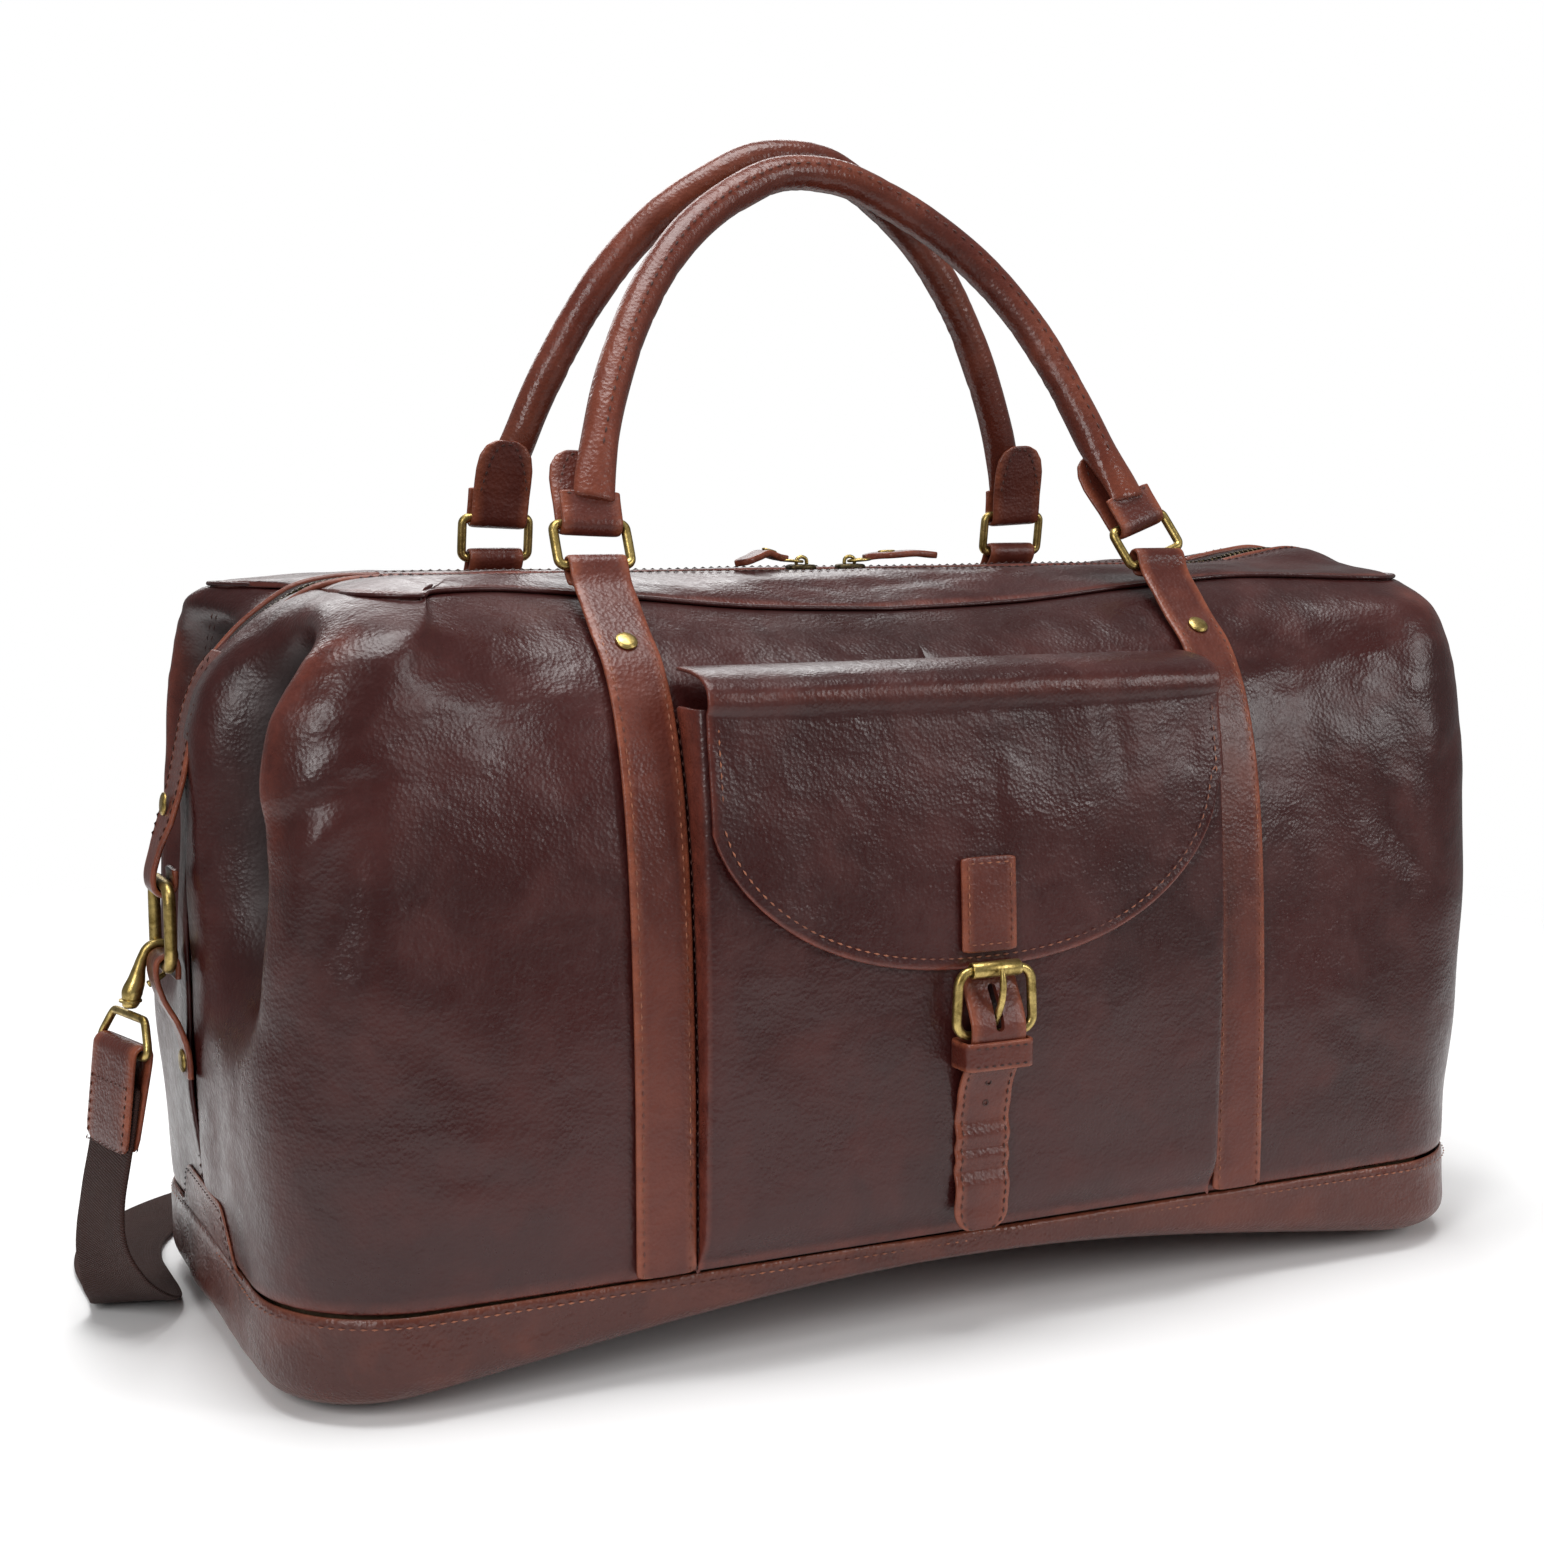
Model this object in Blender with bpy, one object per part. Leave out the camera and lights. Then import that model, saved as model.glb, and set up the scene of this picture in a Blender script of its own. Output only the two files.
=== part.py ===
"""A leather weekender bag: two wrap-round panels on a tray-shaped base, a zipped top, two rolled
handles on metal rings, a flapped front pocket with a roller buckle, and a clip-on shoulder strap.

Metres, +Z up. X runs along the bag, the pocket faces -Y, and the origin is the middle of the base.
Each sub-part is one closed body, and neighbours keep a small gap."""

import bmesh
import bpy
import numpy as np

# ---- driving dimensions -------------------------------------------------------------------------
HALF_LENGTH = 0.285  # half the length at the widest level
HALF_DEPTH = 0.1305  # half the depth at the base seam
SEAM_Z = 0.042  # top edge of the base tray
LEATHER = 0.0024  # wall of panels, base and gussets
GAP = 0.0006  # between neighbours
CORNER_BOTTOM, CORNER_TOP = 0.055, 0.042  # plan radius of the upright corners
EDGE_RADIUS = 0.012  # rounding of the base's lower edge

STRAP_X = 0.134  # centre of each handle strap
STRAP_WIDTH = 0.025
STRAP_THICK = 0.0022

RING_WIRE = 0.002  # radius of the handle ring's wire
RING_WIDE, RING_TALL = 0.031, 0.018  # between wire centres
RING_CORNER = 0.003
RING_Y, RING_Z = 0.0635, 0.3145  # lower bar of each handle ring
FRONT_LEAN, BACK_LEAN = np.radians(25.6), np.radians(8.6)  # how far each handle leans inwards
HANDLE_RADIUS = 0.008
BACK_RISE = 0.957  # height of the back handle's arch, as a share of the front one's

ZIP_HALF = 0.0135  # half the width between the gussets
ZIP_STRAIGHT = 0.2  # the zip runs level as far as this
SLIDER_X = 0.012  # each slider's place when the bag is closed

POCKET_LEFT, POCKET_RIGHT = -0.1205, 0.1195
POCKET_TOP = 0.262
FLAP_ROOT_Y, FLAP_ROOT_Z = -0.1035, 0.2745  # the flap's hinge line
FLAP_THICK = 0.002

BUCKLE_TOP, BUCKLE_BOTTOM = 0.1555, 0.1295  # the buckle's two bars
BUCKLE_HALF = 0.0175
BUCKLE_Y = -0.1515
BILLET_HALF = 0.0125

END_RING_Z = 0.172
END_RING_X = 0.2965
END_RING_WIRE = 0.0026
END_RING_HALF = (0.0165, 0.0165)  # half width, half height, to the wire's centre

WEBBING_WIDTH = 0.038
WEBBING_THICK = 0.0022

# ---- profiles of the body: (position, value) knots ---------------------------------------------
TOP_Z = ((0, 0.2935), (0.06, 0.2955), (0.12, 0.301), (0.20, 0.3065), (0.28, 0.3085))
MID_DEPTH = (
    (0, 0.1305), (0.28, 0.1305), (0.43, 0.129), (0.585, 0.126), (0.70, 0.1215),
    (0.81, 0.1135), (0.875, 0.105), (0.94, 0.088), (1, 0.060),
)
EAR_DEPTH = ((0, 0.1295), (0.3, 0.1305), (0.6, 0.128), (0.8, 0.124), (0.9, 0.119), (0.96, 0.111), (1, 0.088))
END_X = ((0, 0.281), (0.25, 0.285), (0.45, 0.285), (0.8, 0.280), (1, 0.270))
CAVE_DEPTH, CAVE_Y, CAVE_HALF = 0.046, 0.062, 0.043  # the end's inward fold
CAVE_FOOT, CAVE_FULL = 0.125, 0.215  # heights between which the fold opens
CAVE_ARCH, CAVE_CLOSED = 0.264, 0.300  # and between which its arch closes
LEVELS = (0, 0.14, 0.28, 0.43, 0.55, 0.65, 0.73, 0.80, 0.86, 0.91, 0.955, 1)
POCKET_FACE = ((0.045, 0.1325), (0.06, 0.1405), (0.15, 0.142), (0.21, 0.139), (0.25, 0.1335), (0.275, 0.129))
ZIP_Z = ((0, 0.3085), (0.20, 0.3085), (0.235, 0.3115), (0.262, 0.314))


# ---- curves -------------------------------------------------------------------------------------
def through(position, knots, overshoot=False):
    """The smooth curve through knots, read at position; without overshoot it never passes a knot's value."""
    at, value = np.array(knots, float).T
    slope = np.gradient(value, at)
    if not overshoot:
        rise = np.diff(value) / np.diff(at)
        product = rise[1:] * rise[:-1]
        total = np.where(product > 0, rise[1:] + rise[:-1], 1)
        slope[1:-1] = np.where(product > 0, 2 * product / total, 0)
    position = np.clip(position, at[0], at[-1])
    k = np.clip(np.searchsorted(at, position, side="right") - 1, 0, len(at) - 2)
    span = at[k + 1] - at[k]
    t = (position - at[k]) / span
    return (
        value[k] * (1 + 2 * t) * (1 - t) ** 2
        + slope[k] * span * t * (1 - t) ** 2
        + value[k + 1] * t**2 * (3 - 2 * t)
        - slope[k + 1] * span * t**2 * (1 - t)
    )


def ease(t):
    t = np.clip(t, 0, 1)
    return t * t * (3 - 2 * t)


def smooth_path(points, count):
    """count points, evenly spaced along a smooth curve through the given points."""
    points = np.array(points, float)
    steps = np.linalg.norm(np.diff(points, axis=0), axis=1)
    at = np.concatenate([[0], np.cumsum(steps)])
    fine = np.linspace(0, at[-1], 40 * len(points))
    curve = np.stack([through(fine, np.stack([at, axis], 1), True) for axis in points.T], 1)
    run = np.concatenate([[0], np.cumsum(np.linalg.norm(np.diff(curve, axis=0), axis=1))])
    even = np.linspace(0, run[-1], count)
    return np.stack([np.interp(even, run, axis) for axis in curve.T], 1)


def unit(vectors):
    vectors = np.asarray(vectors, float)
    return vectors / np.linalg.norm(vectors, axis=-1, keepdims=True)


# ---- the body's shape ---------------------------------------------------------------------------
def top_z(x):
    return through(np.abs(x), TOP_Z)


def ear(x):
    return ease((np.abs(x) - 0.165) / 0.09)


def depth(x, level):
    mix = ear(x)
    return through(level, MID_DEPTH) * (1 - mix) + through(level, EAR_DEPTH) * mix


def height(x, level):
    """Height of a level, a fraction of the way from the base seam to the top edge."""
    return SEAM_Z + level * (top_z(x) - 0.004 * ear(x) - SEAM_Z)


def level_of(x, z):
    return (z - SEAM_Z) / (top_z(x) - 0.004 * ear(x) - SEAM_Z)


def front_y(x, z):
    """The front panel's y, as a positive depth, at x and z."""
    return depth(x, level_of(x, z))


def cave(y, z):
    """How far the end wall is folded inwards."""
    across = np.clip((np.abs(y) - CAVE_Y) / CAVE_HALF, -1, 1)
    opening = ease((z - CAVE_FOOT) / (CAVE_FULL - CAVE_FOOT))
    arch = 1 - ease((z - CAVE_ARCH) / (CAVE_CLOSED - CAVE_ARCH))
    return CAVE_DEPTH * np.cos(across * np.pi / 2) ** 2 * opening * arch


def half_plan(half_length, half_depth, corner, end_steps=7, corner_steps=5, side_steps=13):
    """Half of a rounded rectangle: from the left end's middle, round the front, to the right end's."""
    start = 0.0008
    end = [(-half_length, y) for y in np.linspace(start, half_depth - corner, end_steps)]
    turn = np.linspace(0, np.pi / 2, corner_steps)[1:-1]
    centre = np.array([half_length - corner, half_depth - corner])
    arc = [(-centre[0] - corner * np.cos(a), centre[1] + corner * np.sin(a)) for a in turn]
    side = [(x, half_depth) for x in np.linspace(-centre[0], centre[0], side_steps)]
    right = [(-x, y) for x, y in (end + arc)[::-1]]
    return np.array(end + arc + side + right)


def wall_loop(level, inset=0.0, steps=(7, 5, 13)):
    """One level of the body's half wall, on the +Y side, moved inwards by inset."""
    corner = CORNER_BOTTOM + (CORNER_TOP - CORNER_BOTTOM) * level
    plan = half_plan(through(level, END_X) - inset, HALF_DEPTH, corner, *steps)
    x = plan[:, 0]
    y = plan[:, 1] / HALF_DEPTH * (depth(x, level) - inset)
    y[[0, -1]] = plan[0, 1]
    z = height(x, level)
    return np.stack([x - np.sign(x) * cave(y, z), y, z], 1)


def normals_of(grid):
    """Unit normals of a grid of points, from its neighbours."""
    du, dv = np.gradient(grid, axis=0), np.gradient(grid, axis=1)
    return unit(np.cross(du, dv))


# ---- mesh makers --------------------------------------------------------------------------------
def material(name, colour, roughness, metallic=0.0):
    made = bpy.data.materials.get(name) or bpy.data.materials.new(name)
    made.use_nodes = True
    shader = made.node_tree.nodes["Principled BSDF"]
    shader.inputs["Base Color"].default_value = (*colour, 1)
    shader.inputs["Roughness"].default_value = roughness
    shader.inputs["Metallic"].default_value = metallic
    return made


def solid(name, points, faces, finish, pivot=(0, 0, 0)):
    """An object from points and faces, with its origin at pivot and its faces pointing out."""
    mesh = bpy.data.meshes.new(name)
    mesh.from_pydata([tuple(p) for p in np.asarray(points, float) - np.array(pivot)], [], faces)
    shell = bmesh.new()
    shell.from_mesh(mesh)
    bmesh.ops.recalc_face_normals(shell, faces=shell.faces)
    bmesh.ops.triangulate(shell, faces=shell.faces)
    shell.to_mesh(mesh)
    shell.free()
    mesh.shade_smooth()
    mesh.set_sharp_from_angle(angle=np.radians(35))
    made = bpy.data.objects.new(name, mesh)
    made.location = pivot
    made.data.materials.append(finish)
    bpy.context.collection.objects.link(made)
    return made


def sheet(name, outer, inner, finish, pivot=(0, 0, 0)):
    """A closed sheet between two grids of points of the same shape."""
    rows, columns = outer.shape[:2]
    index = np.arange(rows * columns).reshape(rows, columns)
    back = index + rows * columns
    faces = []
    for grid in (index, back):
        for i in range(rows - 1):
            for j in range(columns - 1):
                faces.append((grid[i, j], grid[i + 1, j], grid[i + 1, j + 1], grid[i, j + 1]))
    rim = [*index[0, :], *index[1:, -1], *index[-1, -2::-1], *index[-2:0:-1, 0]]
    for a, b in zip(rim, rim[1:] + rim[:1]):
        faces.append((a, b, b + rows * columns, a + rows * columns))
    faces = [tuple(int(v) for v in face) for face in faces]
    return solid(name, np.concatenate([outer.reshape(-1, 3), inner.reshape(-1, 3)]), faces, finish, pivot)


def loft(name, sections, finish, pivot=(0, 0, 0), closed=False):
    """A body through loops of points; closed joins the last loop to the first."""
    sections = np.array(sections)
    count, sides = sections.shape[:2]
    faces = []
    for i in range(count if closed else count - 1):
        a, b = i * sides, (i + 1) % count * sides
        faces += [(a + j, a + (j + 1) % sides, b + (j + 1) % sides, b + j) for j in range(sides)]
    if not closed:
        faces += [tuple(range(sides)), tuple(range((count - 1) * sides, count * sides))]
    return solid(name, sections.reshape(-1, 3), faces, finish, pivot)


def tangents_of(path, closed=False):
    if closed:
        return unit(np.roll(path, -1, axis=0) - np.roll(path, 1, axis=0))
    return unit(np.gradient(path, axis=0))


def ribbon(name, path, across, width, thick, finish, pivot=(0, 0, 0), closed=False):
    """A flat strap along path; across points along its width."""
    path = np.array(path, float)
    tangent = tangents_of(path, closed)
    across = np.broadcast_to(np.array(across, float), path.shape)
    across = unit(across - tangent * (across * tangent).sum(axis=1, keepdims=True))
    normal = unit(np.cross(tangent, across))
    corners = [(-1, -1), (1, -1), (1, 1), (-1, 1)]
    sections = [
        [p + a * (i * w / 2) + n * (j * thick / 2) for i, j in corners]
        for p, a, n, w in zip(path, across, normal, np.broadcast_to(width, len(path)))
    ]
    return loft(name, sections, finish, pivot, closed)


def wire(name, path, radius, across, finish, pivot=(0, 0, 0), closed=True, sides=6):
    """A round wire along path, in the plane whose normal is across."""
    path = np.array(path, float)
    across = unit(np.broadcast_to(np.array(across, float), path.shape))
    normal = unit(np.cross(tangents_of(path, closed), across))
    turn = np.arange(sides) * 2 * np.pi / sides
    radius = np.broadcast_to(radius, len(path))
    sections = [
        [p + r * (np.cos(t) * a + np.sin(t) * n) for t in turn]
        for p, a, n, r in zip(path, across, normal, radius)
    ]
    return loft(name, sections, finish, pivot, closed)


def rounded_loop(half_wide, half_tall, corner, steps=4):
    """Points of a rounded rectangle about (0, 0)."""
    points = []
    for k, (sx, sy) in enumerate(((1, 1), (-1, 1), (-1, -1), (1, -1))):
        for a in np.linspace(0, np.pi / 2, steps) + k * np.pi / 2:
            points.append((
                sx * (half_wide - corner) + corner * np.cos(a),
                sy * (half_tall - corner) + corner * np.sin(a),
            ))
    return np.array(points)


def disc(name, centre, axis, profile, finish, sides=12, pivot=(0, 0, 0)):
    """A turned body: profile is (radius, height along axis) pairs, from one cap to the other."""
    axis = unit(axis)
    side = unit(np.cross(axis, (0.3, 0.2, 0.93) if abs(axis[2]) < 0.9 else (1, 0, 0)))
    other = np.cross(axis, side)
    turn = np.arange(sides) * 2 * np.pi / sides
    sections = [
        [np.array(centre) + axis * h + r * (np.cos(t) * side + np.sin(t) * other) for t in turn]
        for r, h in profile
    ]
    return loft(name, sections, finish, pivot)


def hollow_disc(name, centre, axis, outer, inner, half, finish, sides=12, pivot=(0, 0, 0)):
    """A short round tube about axis."""
    axis = unit(axis)
    side = unit(np.cross(axis, (0.3, 0.2, 0.93) if abs(axis[2]) < 0.9 else (1, 0, 0)))
    other = np.cross(axis, side)
    sections = []
    for t in np.arange(sides) * 2 * np.pi / sides:
        out = np.cos(t) * side + np.sin(t) * other
        sections.append([
            np.array(centre) + axis * h + r * out
            for r, h in ((inner, -half), (outer, -half), (outer, half), (inner, half))
        ])
    return loft(name, sections, finish, pivot, closed=True)


# ---- body -----------------------------------------------------------------------------------------
def make_panels():
    grid = np.array([wall_loop(level) for level in LEVELS])
    normal = normals_of(grid)
    normal *= np.sign((normal[2, 20] * (0, 1, 0)).sum())
    inner = grid - normal * LEATHER
    inner[:, [0, -1], 1] = grid[:, [0, -1], 1]
    mirror = np.array([1, -1, 1])
    sheet("back_panel", grid, inner, OXBLOOD)
    sheet("front_panel", grid * mirror, inner * mirror, OXBLOOD)


def full_plan(half_length, half_depth, corner, z):
    half = half_plan(half_length, half_depth, corner, 3, 6, 9)
    half[[0, -1], 1] = 0
    loop = np.concatenate([half, half[-2:0:-1] * (1, -1)])
    return np.column_stack([loop, np.full(len(loop), z)])


def make_base():
    """The tray under the bag: its floor, a rounded lower edge and a rim up to the seam."""
    half_length = through(0, END_X)
    outer = []
    for a in np.linspace(0, np.pi / 2, 4):
        inset = EDGE_RADIUS * (1 - np.sin(a))
        outer.append((inset, EDGE_RADIUS * (1 - np.cos(a))))
    outer.append((0, SEAM_Z - GAP))
    loops = [
        full_plan(half_length - i, HALF_DEPTH - i - 0.0005, CORNER_BOTTOM - i, z) for i, z in outer
    ]
    inner = [(i + LEATHER, max(z, LEATHER)) for i, z in outer[::-1]]
    loops += [
        full_plan(half_length - i, HALF_DEPTH - i - 0.0005, CORNER_BOTTOM - i, z) for i, z in inner
    ]
    loft("base_tray", loops, RUSSET)
    board = [full_plan(half_length - 0.02, HALF_DEPTH - 0.02, 0.04, z) for z in (0.0032, 0.0062)]
    loft("base_board", board, BOARD)


def lining_loop(level, inset):
    half = wall_loop(level, inset, (4, 4, 5))
    half[[0, -1], 1] = 0
    return np.concatenate([half, half[-2:0:-1] * (1, -1, 1)])


def make_lining():
    """The cloth lining, an open tub that hangs inside the panels."""
    levels = (0, 0.3, 0.55, 0.75, 0.86, 0.94)
    outside, inside = 0.0130, 0.0145
    loops = [np.array(lining_loop(0, outside)) * (1, 1, 0) + (0, 0, 0.0070)]
    loops += [lining_loop(level, outside) for level in levels]
    loops += [lining_loop(level, inside) for level in levels[::-1]]
    loops += [np.array(lining_loop(0, inside)) * (1, 1, 0) + (0, 0, 0.0080)]
    loft("lining", loops, CLOTH)


def zip_z(x):
    return through(np.abs(x), ZIP_Z)


def make_top():
    """The two gussets beside the zip, the zip's tapes and its row of teeth."""
    xs = np.linspace(-0.2655, 0.2655, 25)
    for side, name in ((-1, "top_gusset_front"), (1, "top_gusset_back")):
        rows = []
        for across in np.linspace(0, 1, 4):
            edge_y = depth(xs, 1.0) - 0.0016
            y = edge_y + (ZIP_HALF - edge_y) * across
            rise = top_z(xs) + 0.0012
            z = rise + (zip_z(xs) - rise) * ease(across * 0.9 + 0.1)
            rows.append(np.stack([xs, side * y, z], 1))
        grid = np.array(rows)
        sheet(name, grid, grid - np.array([0, 0, LEATHER]), OXBLOOD)
        tape = []
        for y in (ZIP_HALF - 0.0006, 0.0034):
            tape.append(np.stack([xs * 0.97, np.full(len(xs), side * y), zip_z(xs * 0.97) - 0.0004], 1))
        tape = np.array(tape)
        sheet(name.replace("top_gusset", "zip_tape"), tape, tape - np.array([0, 0, 0.001]), TAPE)
    teeth_x = np.linspace(-0.258, 0.258, 21)
    path = np.stack([teeth_x, 0 * teeth_x, zip_z(teeth_x) - 0.0009], 1)
    ribbon("zip_teeth", path, (0, 1, 0), 0.0056, 0.0020, BRASS)


def make_sliders():
    """The two sliders, closed nose to nose, each with a leather pull on its bridge."""
    level = zip_z(0.0)
    for name, side in (("left", -1), ("right", 1)):
        x = side * SLIDER_X
        plate = np.array([(-0.0065, 0.004), (0.0, 0.0052), (0.0065, 0.0030), (0.0065, -0.0030),
                          (0.0, -0.0052), (-0.0065, -0.004)])
        plate[:, 0] *= -side
        heights = ((0.9, 0.0006), (1.0, 0.0012), (1.0, 0.0024), (0.85, 0.0032))
        sections = [
            np.column_stack([x + plate[:, 0] * s, plate[:, 1] * s, np.full(6, level + h)]) for s, h in heights
        ]
        loft(f"zip_slider_{name}", sections, BRASS, (x, 0, level))
        arch = [(x - 0.003, 0, level + 0.0037), (x - 0.003, 0, level + 0.0060), (x, 0, level + 0.0070),
                (x + 0.003, 0, level + 0.0060), (x + 0.003, 0, level + 0.0037)]
        start = (x + side * 0.0062, 0, level + 0.0052)
        path = [start, (x + side * 0.010, 0, level + 0.0050), (x + side * 0.024, 0, level + 0.0060),
                (x + side * 0.036, 0, level + 0.0062)]
        ribbon(f"zip_pull_{name}", path, (0, 1, 0), 0.011, 0.0024, RUSSET, start)
        wire(f"zip_bridge_{name}", arch, 0.0007, (0, 1, 0), BRASS, closed=False)


# ---- handles --------------------------------------------------------------------------------------
def off_panel(x, level, stand):
    """A point that stands off the back panel's surface, as (y, z)."""
    step = 0.01
    fall = depth(x, level - step) - depth(x, level + step)
    rise = height(x, level + step) - height(x, level - step)
    run = np.hypot(fall, rise)
    return depth(x, level) + rise / run * stand, height(x, level) + fall / run * stand


def strap_path(side, x):
    """A handle strap's centre line: up the panel from the base seam and round the ring's lower bar."""
    stand = GAP * 2 + STRAP_THICK / 2
    points = [off_panel(x, level, stand) for level in (0.012, *LEVELS[1:9])]
    points += [off_panel(x, level, stand + GAP) for level in (0.905, 0.94)]
    radius = RING_WIRE + GAP + STRAP_THICK / 2
    points += [(0.0775, 0.3010), (0.0705, 0.3080)]
    for a in np.radians((0, 45, 90, 135, 180, 225)):
        points.append((RING_Y + radius * np.cos(a), RING_Z + radius * np.sin(a)))
    points += [(0.0640, 0.3080), (0.0660, 0.3062)]
    return [(x, side * y, z) for y, z in points]


def ring_loop(x, side, lean):
    """A handle ring, standing in the plane that its handle leans in."""
    loop = rounded_loop(RING_WIDE / 2, RING_TALL / 2, RING_CORNER)
    up = np.array([0, -side * np.sin(lean), np.cos(lean)])
    foot = np.array([x, side * RING_Y, RING_Z])
    return [foot + np.array([u, 0, 0]) + up * (v + RING_TALL / 2) for u, v in loop], foot, up


RIVET_LEVEL = 0.925  # where each strap's rivet sits on the panel
HANDLE_ARCH = (
    (0.1295, 0.036), (0.1250, 0.050), (0.1165, 0.0735), (0.1080, 0.0925), (0.0975, 0.1125), (0.0835, 0.1340),
    (0.0630, 0.1570), (0.0370, 0.1760), (0.0160, 0.1862), (0, 0.1880),
)


def handle_sections(side, lean, tall):
    """Sections of a rolled handle whose two ends flatten and fold round the rings' upper bars; tall scales its arch."""
    up = np.array([0, -side * np.sin(lean), np.cos(lean)])
    out = np.array([0, side * np.cos(lean), np.sin(lean)])
    foot = np.array([0, side * RING_Y, RING_Z])
    fold = RING_WIRE + 0.0006 + 0.0012
    bar = RING_TALL
    half = [(0.1335, 0.0305, -fold, 0.0115, 0.0012), (0.134, bar + 0.004, -fold, 0.012, 0.0012)]
    for a in np.radians((180, 225, 270, 315, 360)):
        half.append((0.134, bar + fold * np.sin(a), fold * np.cos(a), 0.012, 0.0012))
    half.append((0.134, bar + 0.006, fold, 0.012, 0.0012))
    half.append((0.1325, bar + 0.011, fold, 0.0125, 0.0014))
    half.append((0.1312, 0.0335, fold * 0.75, 0.0125, 0.0022))
    shape = ((0.0122, 0.0034), (0.0100, 0.0062), (0.0085, 0.0078))
    for k, (x, rise) in enumerate(HANDLE_ARCH):
        wide, thick = shape[k] if k < len(shape) else (HANDLE_RADIUS, HANDLE_RADIUS)
        half.append((x, HANDLE_ARCH[0][1] + (rise - HANDLE_ARCH[0][1]) * tall, fold * 0.5 * max(0, 1 - k / 2), wide, thick))
    # The arch is mirrored, without repeating its middle.
    whole = [(-x, *rest) for x, *rest in half] + [tuple(row) for row in half[-2::-1]]
    centres = np.array([foot + np.array([x, 0, 0]) + up * r + out * o for x, r, o, _, _ in whole])
    tangent = tangents_of(centres)
    sections = []
    for centre, along, (x, r, o, wide, thick) in zip(centres, tangent, whole):
        # Across lies in the arch's plane, so the flat ends stay square to the rings' bars.
        flat = thick < 0.003
        across = np.array([1.0, 0, 0]) if flat else unit(np.cross(along, out))
        normal = unit(np.cross(along, across))
        turn = np.arange(10) * 2 * np.pi / 10
        sections.append([centre + wide * np.cos(t) * across + thick * np.sin(t) * normal for t in turn])
    return sections, foot + up * RING_TALL


def make_handles():
    for name, side, lean, tall in (("front", -1, FRONT_LEAN, 1.0), ("back", 1, BACK_LEAN, BACK_RISE)):
        for end, x in (("left", -STRAP_X), ("right", STRAP_X)):
            ribbon(f"handle_strap_{name}_{end}", strap_path(side, x), (1, 0, 0), STRAP_WIDTH, STRAP_THICK, RUSSET)
            loop, foot, _ = ring_loop(x, side, lean)
            wire(f"handle_ring_{name}_{end}", loop, RING_WIRE, (0, np.cos(lean), side * np.sin(lean)), BRASS, foot)
            foot_of_rivet = GAP * 3 + STRAP_THICK + 0.0005
            y, z = off_panel(x, RIVET_LEVEL, foot_of_rivet)
            y_out, z_out = off_panel(x, RIVET_LEVEL, foot_of_rivet + 0.01)
            disc(f"strap_rivet_{name}_{end}", (x, side * y, z), (0, side * (y_out - y), z_out - z),
                 ((0.0042, 0), (0.0042, 0.0006), (0.0030, 0.0013)), BRASS)
        sections, pivot = handle_sections(side, lean, tall)
        loft(f"handle_{name}", sections, RUSSET, pivot)


# ---- pocket ---------------------------------------------------------------------------------------
def face_y(z):
    return through(z, POCKET_FACE)


def make_pocket():
    """A patch pocket, open at its top under the flap."""
    columns = [(POCKET_LEFT, 0), (POCKET_LEFT, 0.55), (POCKET_LEFT + 0.0025, 1)]
    columns += [(x, 1) for x in np.linspace(-0.1, 0.1, 8)]
    columns += [(POCKET_RIGHT - 0.0025, 1), (POCKET_RIGHT, 0.55), (POCKET_RIGHT, 0)]
    rows = [(SEAM_Z + 0.0012, 0), (SEAM_Z + 0.0016, 0.6), (0.047, 1)]
    rows += [(z, 1) for z in (0.06, 0.10, 0.15, 0.18, 0.21, 0.235, 0.25, POCKET_TOP)]
    middle = (POCKET_LEFT + POCKET_RIGHT) / 2
    outer, inner = [], []
    for z, lift in rows:
        for x, out in columns:
            back = front_y(x, z) + 0.0012
            fill = min(out, lift)
            y = back + (face_y(z) - back) * fill
            outer.append((x, -y, z))
            inset = x + np.sign(middle - x) * 0.0018 * (out < 1 or abs(x - middle) > 0.11)
            inner.append((inset, -max(back, y - 0.0018 * (fill > 0)), z + (0.0018 if z < 0.048 else 0)))
    shape = (len(rows), len(columns), 3)
    sheet("pocket", np.array(outer).reshape(shape), np.array(inner).reshape(shape), OXBLOOD)


def flap_low(x):
    """The flap's lower edge: straight sides and a deep curve between them."""
    middle = -0.003
    return 0.226 - 0.071 * np.sqrt(np.clip(1 - np.abs((x - middle) / 0.1165) ** 2.3, 0, 1)) ** 1.1


def flap_sheet(x0, x1, columns, z_stop=None, lift=0.0):
    """Outer and inner grids of a stretch of the flap, raised by lift."""
    outer, inner = [], []
    for t in np.linspace(0, 1, 15):
        for x in np.linspace(x0, x1, columns):
            low = flap_low(x) if z_stop is None else z_stop
            top = 0.262
            if t <= 0.3:
                k = t / 0.3
                angle = k * np.pi / 2
                y = FLAP_ROOT_Y - (0.1355 + FLAP_ROOT_Y) * np.sin(angle) ** 0.8
                z = top + (FLAP_ROOT_Z - top) * np.cos(angle) ** 0.6
                normal = unit((0, -np.sin(angle), np.cos(angle)))
            else:
                k = (t - 0.3) / 0.7
                z = top + (low - top) * k
                y = -(face_y(z) + 0.0014 + 0.0006 * ease(1 - k * 4))
                normal = np.array([0, -1, 0])
            base = np.array([x, y, z])
            inner.append(base + normal * lift)
            outer.append(base + normal * (lift + FLAP_THICK))
    shape = (15, columns, 3)
    return np.array(outer).reshape(shape), np.array(inner).reshape(shape)


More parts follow.
